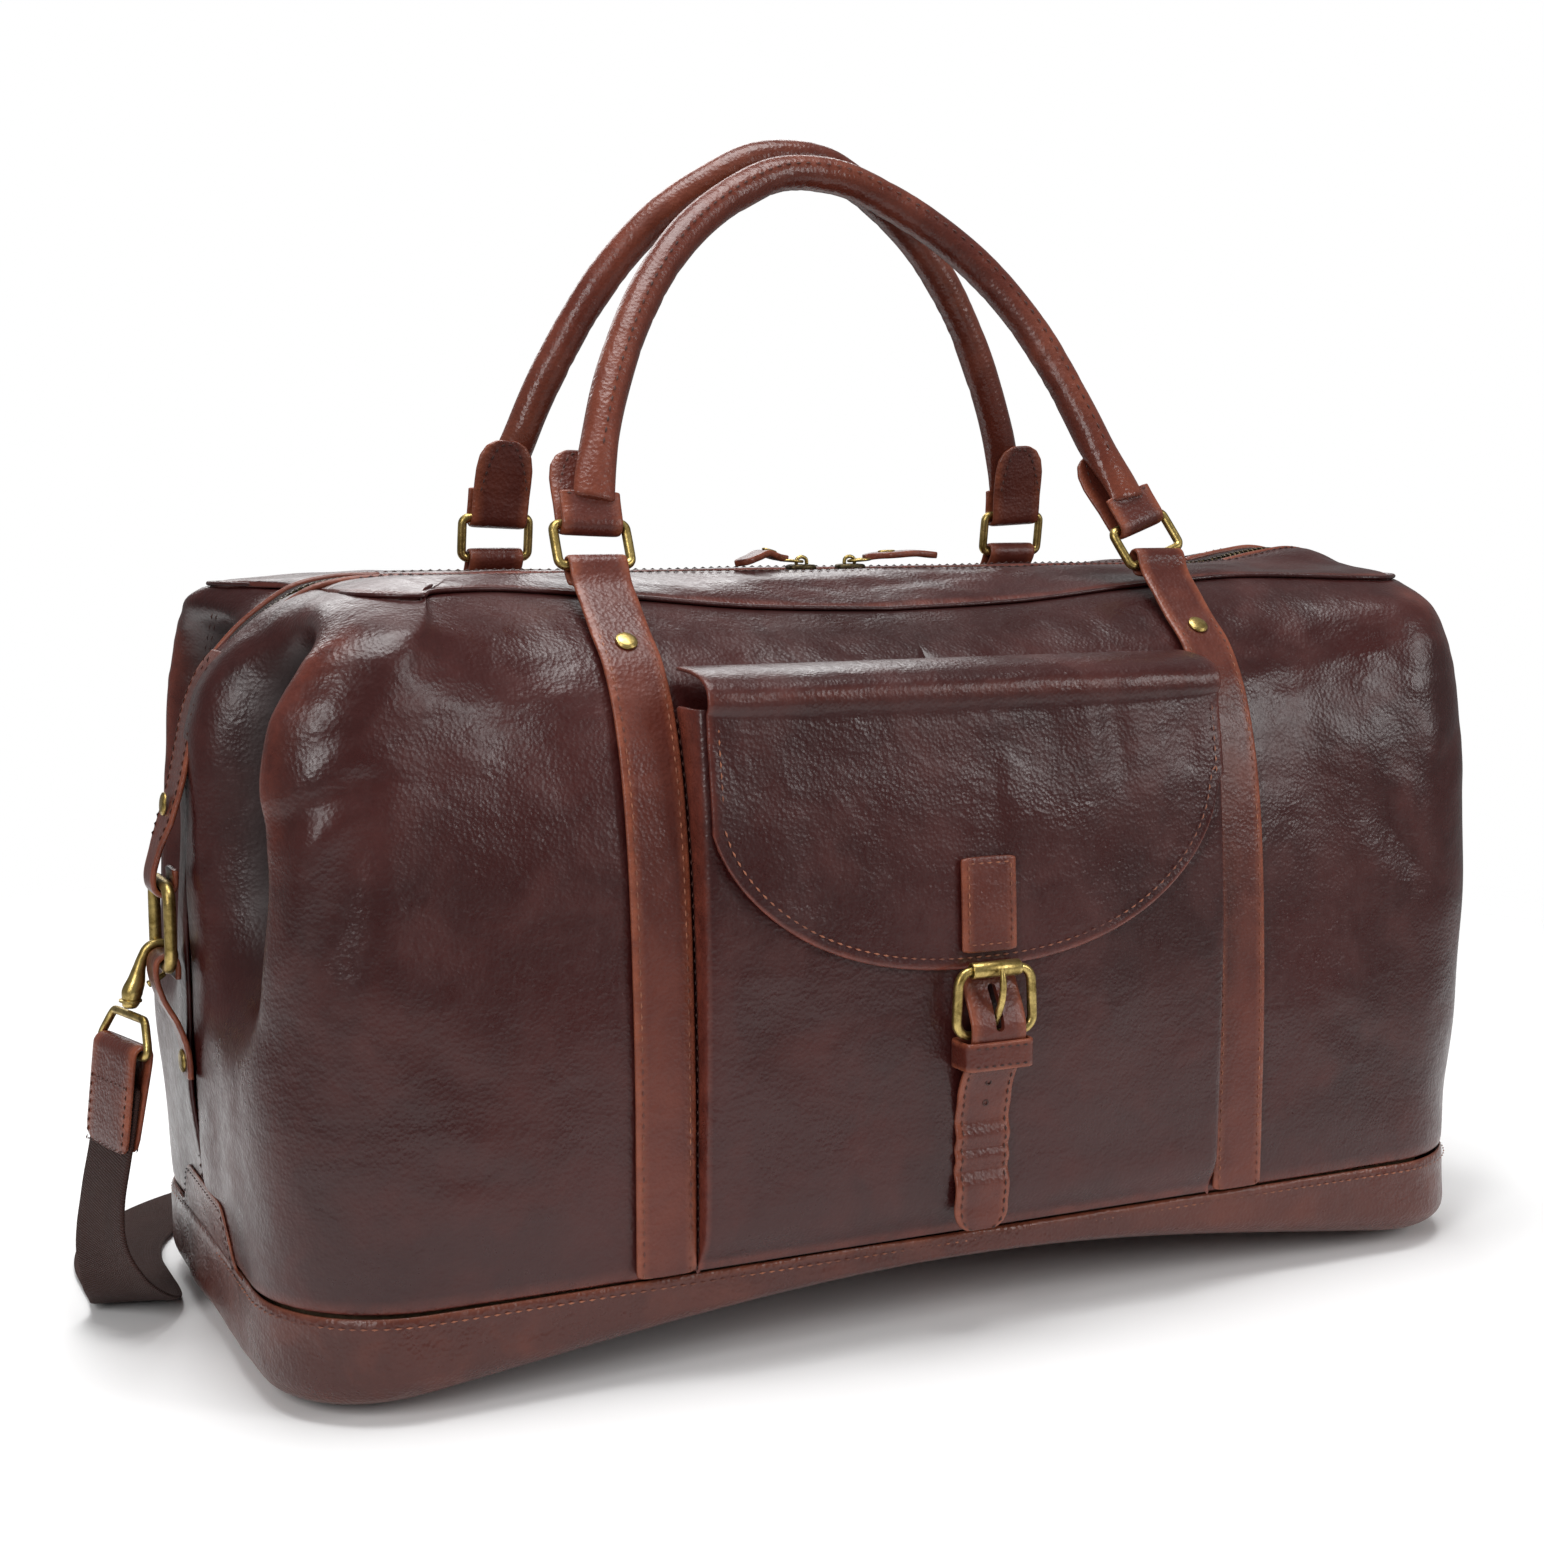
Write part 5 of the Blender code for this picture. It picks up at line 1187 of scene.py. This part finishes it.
def make_buckle():
    middle = (BUCKLE_TOP + BUCKLE_BOTTOM) / 2
    half = (BUCKLE_TOP - BUCKLE_BOTTOM) / 2
    y = BUCKLE_Y
    frame_path, radius = [], []
    for u, v in rounded_loop(BUCKLE_HALF, half, 0.0062, 10):
        splay = 1 - 0.05 * ease((v + half) / (2 * half))
        frame_path.append((u * splay, y, v + middle))
        radius.append(0.0017 + 0.0004 * bell(abs(u) - BUCKLE_HALF, 0.004))
    wire("buckle_ring", frame_path, radius, (0, 1, 0), BRASS, "bag", ("buckle_frame",),
         True, 14)
    roller_profile = [(0.0022, -0.0110), (0.0030, -0.0110), (0.0033, -0.0106), (0.0033, 0.0106),
                      (0.0030, 0.0110),
                      (0.0022, 0.0110)]
    turn = np.arange(28) * 2 * np.pi / 28
    sections = [[(h, y + r * np.cos(t), BUCKLE_TOP + r * np.sin(t)) for r,
                 h in roller_profile] for t in turn]
    lofted("buckle_tube", sections, BRASS, "roller", ("buckle_roller",), None, True, 0, 40)
    path = smooth_path([(0, y, BUCKLE_BOTTOM + 0.0032), (0, y - 0.0025, BUCKLE_BOTTOM + 0.0080),
                        (0, y - 0.0055, BUCKLE_BOTTOM + 0.0145), (0, y - 0.0064, BUCKLE_BOTTOM + 0.0205),
                        (0, y - 0.0054, BUCKLE_TOP + 0.0012)], 28)
    radius = np.interp(np.linspace(0, 1, 28), (0, 0.3, 0.8, 1), (0.0013, 0.0016, 0.0014, 0.0009))
    wire("buckle_tongue", path, radius, (1, 0, 0), BRASS, "prong", ("buckle_prong",), False,
         12)
    over_bar = y - 0.0035
    tail = [(0, -0.1452, 0.1522), (0, -0.1478, 0.1470), (0, -0.1528, 0.1385), (0, over_bar, 0.1325),
            (0, over_bar + 0.0002, 0.1275), (0, -0.1528, 0.1225), (0, -0.1498, 0.1160), (0, -0.1462, 0.1090)]
    tail += [(0, -(face_y(z) + 0.0018), z) for z in (0.100, 0.085, 0.070)]
    tail += [(0, -0.1436, 0.060), (0, -0.1428, 0.052), (0, -0.1424, 0.0462)]
    path = smooth_path(tail, 110)
    z = path[:, 2]
    creased = ease((0.108 - z) / 0.01) * ease((z - 0.048) / 0.01)
    path[:, 1] -= 0.0007 * np.sin(z * 520 + 1.2 * np.sin(z * 160)) * creased
    tip = np.clip((z - 0.0450) / 0.0110, 0, 1)
    width = 2 * BILLET_HALF * (1 - (1 - tip) ** 2.6) ** 0.5
    width = np.maximum(width, 0.006)
    make_slotted_tail(path, width)
    seen = path[z < 0.128]
    lines = []
    for offset in (-1, 1):
        inset = offset * np.maximum(np.interp(seen[:, 2], z[::-1], width[::-1]) / 2 - 0.0026, 0.001)
        line, normal = beside(seen, (1, 0, 0), inset, 0)
        normal = normal * -np.sign(normal[:, 1:2])
        lines.append((line + normal * 0.0014, normal))
    stitches("billet_stitching", lines, DARK_STITCH, "bag", 0.0038)
    loop = rounded_loop(BILLET_HALF + 0.0023, 0.0070, 0.0026, 6)
    keeper = [(u, -0.1499 + v, 0.1215) for u, v in loop]
    strap("keeper", keeper, (0, 0, 1), 0.0115, 0.0018, TRIM, "bag", ("keeper_loop",), True)
    lines = []
    for dz in (-0.0037, 0.0037):
        line = np.linspace((-0.0125, -0.1580, 0.1215 + dz), (0.0125, -0.1580, 0.1215 + dz), 10)
        lines.append((line, (0, -1, 0)))
    stitches("keeper_stitching", lines, DARK_STITCH, "bag", 0.0034, 0.0024)
    for k, z_hole in enumerate((0.1085, 0.0995)):
        depth_here = np.interp(z_hole, path[::-1, 2], path[::-1, 1])
        turn = np.linspace(0, 2 * np.pi, 17)[:-1]
        ring = [(0.0011 * np.cos(a), depth_here - 0.0013, z_hole + 0.0011 * np.sin(a)) for a in turn]
        wire(f"billet_hole_{k}", ring, 0.0004, (0, 1, 0), DARK_STITCH, "bag", ())


def make_slotted_tail(path, width):
    """The billet's tail, cut with the slot that the buckle's tongue passes."""
    made = strap("billet", path, (1, 0, 0), width, 0.0024, TRIM, "bag", ("billet_tail",),
                 rounds=1)
    slot = rounded_loop(0.0019, 0.0090, 0.0018, 5)
    faces = grid_faces(2, len(slot), True) + [tuple(range(len(slot))),
                                              tuple(range(len(slot), 2 * len(slot)))]
    points = [(u, y, v + 0.1400) for y in (-0.168, -0.1447) for u, v in slot]
    mesh = bpy.data.meshes.new("slot")
    mesh.from_pydata(points, [], faces)
    shell = bmesh.new()
    shell.from_mesh(mesh)
    bmesh.ops.recalc_face_normals(shell, faces=shell.faces)
    shell.to_mesh(mesh)
    shell.free()
    cutter = bpy.data.objects.new("slot", mesh)
    bpy.context.collection.objects.link(cutter)
    cut = made.modifiers.new("slot", "BOOLEAN")
    cut.object, cut.operation, cut.solver = cutter, "DIFFERENCE", "EXACT"
    bpy.context.view_layer.update()
    graph = bpy.context.evaluated_depsgraph_get()
    cut_mesh = bpy.data.meshes.new_from_object(made.evaluated_get(graph))
    made.modifiers.clear()
    made.data = cut_mesh
    bpy.data.objects.remove(cutter, do_unlink=True)


# ---- ends -----------------------------------------------------------------------------------------
def make_end(name, side):
    x = side * END_RING_X
    half_wide, half_tall = END_RING_HALF
    top, bottom = END_RING_Z + half_tall, END_RING_Z - half_tall
    radius = END_RING_WIRE + 0.0006 + 0.0011
    if side < 0:
        over = [(0.2700, 0.2800), (0.2755, 0.2735), (0.2820, 0.2600), (0.2862, 0.2430), (0.2890, 0.2300),
                (0.2935, 0.2150), (0.2985, 0.2010)]
    else:
        over = [(0.2660, 0.3125), (0.2740, 0.3080), (0.2810, 0.2960), (0.2855, 0.2790), (0.2880, 0.2500),
                (0.2935, 0.2150), (0.2985, 0.2010)]
    turn = np.radians(np.linspace(0, -180, 9))
    over += [(END_RING_X + radius * np.cos(a), top + radius * np.sin(a)) for a in turn]
    over += [(END_RING_X - radius, top + 0.006)]
    path = smooth_path([(side * u, 0, v) for u, v in over], 90)
    widths = np.interp(path[:, 2], (0.196, 0.202, 0.214, 0.290), (0.0175, 0.0180, 0.0265, 0.0285))
    strap(f"end_tab_leather_{name}", path, (0, 1, 0), widths, 0.0024, TRIM, "bag",
          (f"end_tab_{name}",))
    outer = path[(path[:, 0] * side > 0.276) & (path[:, 2] > 0.205)]
    lines = []
    for offset in (-1, 1):
        inset = offset * (np.interp(outer[:, 2], (0.196, 0.202, 0.214, 0.290),
                                    (0.0175, 0.0180, 0.0265, 0.0285)) / 2 - 0.0028)
        line, normal = beside(outer, (0, 1, 0), inset, 0)
        normal = normal * np.sign(normal[:, :1] * side)
        lines.append((line + normal * 0.0014, normal))
    stitches(f"end_tab_stitching_{name}", lines, DARK_STITCH, "bag", 0.0038)
    ring = [(x, u, v + END_RING_Z) for u, v in rounded_loop(half_wide, half_tall, 0.0075, 9)]
    wire(f"end_d_ring_{name}", ring, END_RING_WIRE, (1, 0, 0), BRASS, "bag",
         (f"end_ring_{name}",),
         True, 14)
    lower = [(END_RING_X - radius, bottom - 0.006)]
    lower += [(END_RING_X + radius * np.cos(a), bottom + radius * np.sin(a)) for a in -turn[::-1]]
    lower += [(0.2985, 0.1430), (0.2925, 0.1310), (0.2888, 0.1180), (0.2884, 0.1080)]
    path = smooth_path([(side * u, 0, v) for u, v in lower], 60)
    strap(f"end_strap_leather_{name}", path, (0, 1, 0), 0.017, 0.0024, TRIM, "bag",
          (f"end_strap_{name}",))
    rivet(f"end_rivet_cap_{name}", (side * 0.2944, 0, 0.2200), (side, 0, 0.10), 0.0047, "bag",
          (f"end_rivet_{name}",))
    rivet(f"end_stud_cap_{name}", (side * 0.2900, 0, 0.1150), (side, 0, 0), 0.0048, "bag",
          (f"end_stud_{name}",))


# ---- studio ---------------------------------------------------------------------------------------
def area_light(name, place, aim, size, power):
    data = bpy.data.lights.new(name, "AREA")
    data.shape = "RECTANGLE"
    data.size, data.size_y, data.energy = size[0], size[1], power
    light = bpy.data.objects.new(name, data)
    light.location = place
    way = unit(np.array(aim) - place)
    light.rotation_euler = (np.arccos(-way[2]), 0, np.arctan2(way[1], way[0]) - np.pi / 2)
    bpy.context.collection.objects.link(light)


def make_studio():
    points = [(-6, -6, -0.0005), (6, -6, -0.0005), (6, 6, -0.0005), (-6, 6, -0.0005)]
    mesh = bpy.data.meshes.new("floor")
    mesh.from_pydata(points, [], [(0, 1, 2, 3)])
    mesh.materials.append(floor_paint("pale_floor"))
    floor = bpy.data.objects.new("floor", mesh)
    bpy.context.collection.objects.link(floor)
    world = bpy.data.worlds.new("studio")
    bpy.context.scene.world = world
    world.use_nodes = True
    nodes, links = world.node_tree.nodes, world.node_tree.links
    nodes.clear()
    seen = nodes.new("ShaderNodeLightPath")
    bright, dim = nodes.new("ShaderNodeBackground"), nodes.new("ShaderNodeBackground")
    bright.inputs["Color"].default_value = (1, 1, 1, 1)
    bright.inputs["Strength"].default_value = 1.0
    dim.inputs["Color"].default_value = (1, 0.99, 0.985, 1)
    dim.inputs["Strength"].default_value = 0.24
    blend = nodes.new("ShaderNodeMixShader")
    out = nodes.new("ShaderNodeOutputWorld")
    links.new(seen.outputs["Is Camera Ray"], blend.inputs[0])
    links.new(dim.outputs[0], blend.inputs[1])
    links.new(bright.outputs[0], blend.inputs[2])
    links.new(blend.outputs[0], out.inputs["Surface"])
    area_light("overhead", (-0.1, -0.1, 2.0), (0, 0, 0.2), (1.3, 1.0), 34)
    area_light("left_front", (-1.5, -1.2, 1.15), (-0.1, 0, 0.2), (0.5, 1.1), 17)
    area_light("right_front", (1.3, -1.6, 0.95), (0.15, 0, 0.15), (0.5, 0.9), 12)
    area_light("behind", (0.3, 1.8, 1.3), (0, 0, 0.2), (1.6, 0.9), 15)
    scene = bpy.context.scene
    scene.view_settings.view_transform = "Standard"
    scene.view_settings.look = "None"


def make_inside():
    """The stiffening board on the floor, and the cotton lining that hangs inside the panels."""
    half_length = through(0, END_X)
    rings = [(0.125, 0.0046)] + [(inset, 0.0046) for inset in (0.10, 0.07, 0.045, 0.030, 0.021)]
    rings += [(0.020, 0.0050), (0.020, 0.0060), (0.021, 0.0064)]
    rings += [(inset, 0.0064) for inset in (0.030, 0.045, 0.07, 0.10, 0.125)]
    loops = [full_plan(half_length - i, HALF_DEPTH - i, max(0.05 - i, 0.004), z) for i, z in rings]
    grid = np.array(loops)
    grid[..., 2] += bow_of(grid[..., 0], grid[..., 1])
    lofted("floor_board", grid, BOARD, "bag", ("base_board",), None, False, 0)
    shells = []
    for side in (-1, 1):
        levels = np.linspace(0, 0.88, 26)
        wall = np.array([wall_loop(level, (14, 8, 40), side) for level in levels])
        way = normals_of(wall)
        way *= np.sign(way[5, 30, 1])
        inner = wall - way * 0.0085
        inner[:, [0, -1], 1] = 0
        inner[..., 1] = np.maximum(inner[..., 1], 0) * side
        shells.append(inner)
    loops = np.concatenate([shells[0], shells[1][:, -2:0:-1]], axis=1)
    floor = []
    for share in (0.25, 0.6, 0.88):
        ring = loops[0] * (share, share, 0)
        ring[:, 2] = 0.0084 + bow_of(ring[:, 0], ring[:, 1])
        floor.append(ring)
    foot = loops[0] * (0.975, 0.975, 0)
    foot[:, 2] = 0.012 + bow_of(foot[:, 0], foot[:, 1])
    loops = np.concatenate([floor, [foot], loops])
    loops = loops + (waves(loops, 0.06, 71) * 0.0010)[..., None] * unit(loops * (-1, -1, 0) + (0, 0, 1e-9))
    count, sides = loops.shape[:2]
    faces = grid_faces(count, sides, True) + [tuple(range(sides))]
    cloth = piece("cotton_lining", loops.reshape(-1, 3), faces, LINING, "bag", ("lining",),
                  None,
                  ((0, -0.12, 0.1), (0, 1, 0)), 60)
    finish_with(cloth, 0.0010, 0, 1.0)


make_camera()
make_shoulder_strap()
make_panels()
make_base()
make_top()
make_sliders()
make_straps_and_rings()
make_handles()
make_pocket()
make_flap()
make_buckle()
make_end("left", -1)
make_end("right", 1)
make_inside()
make_studio()
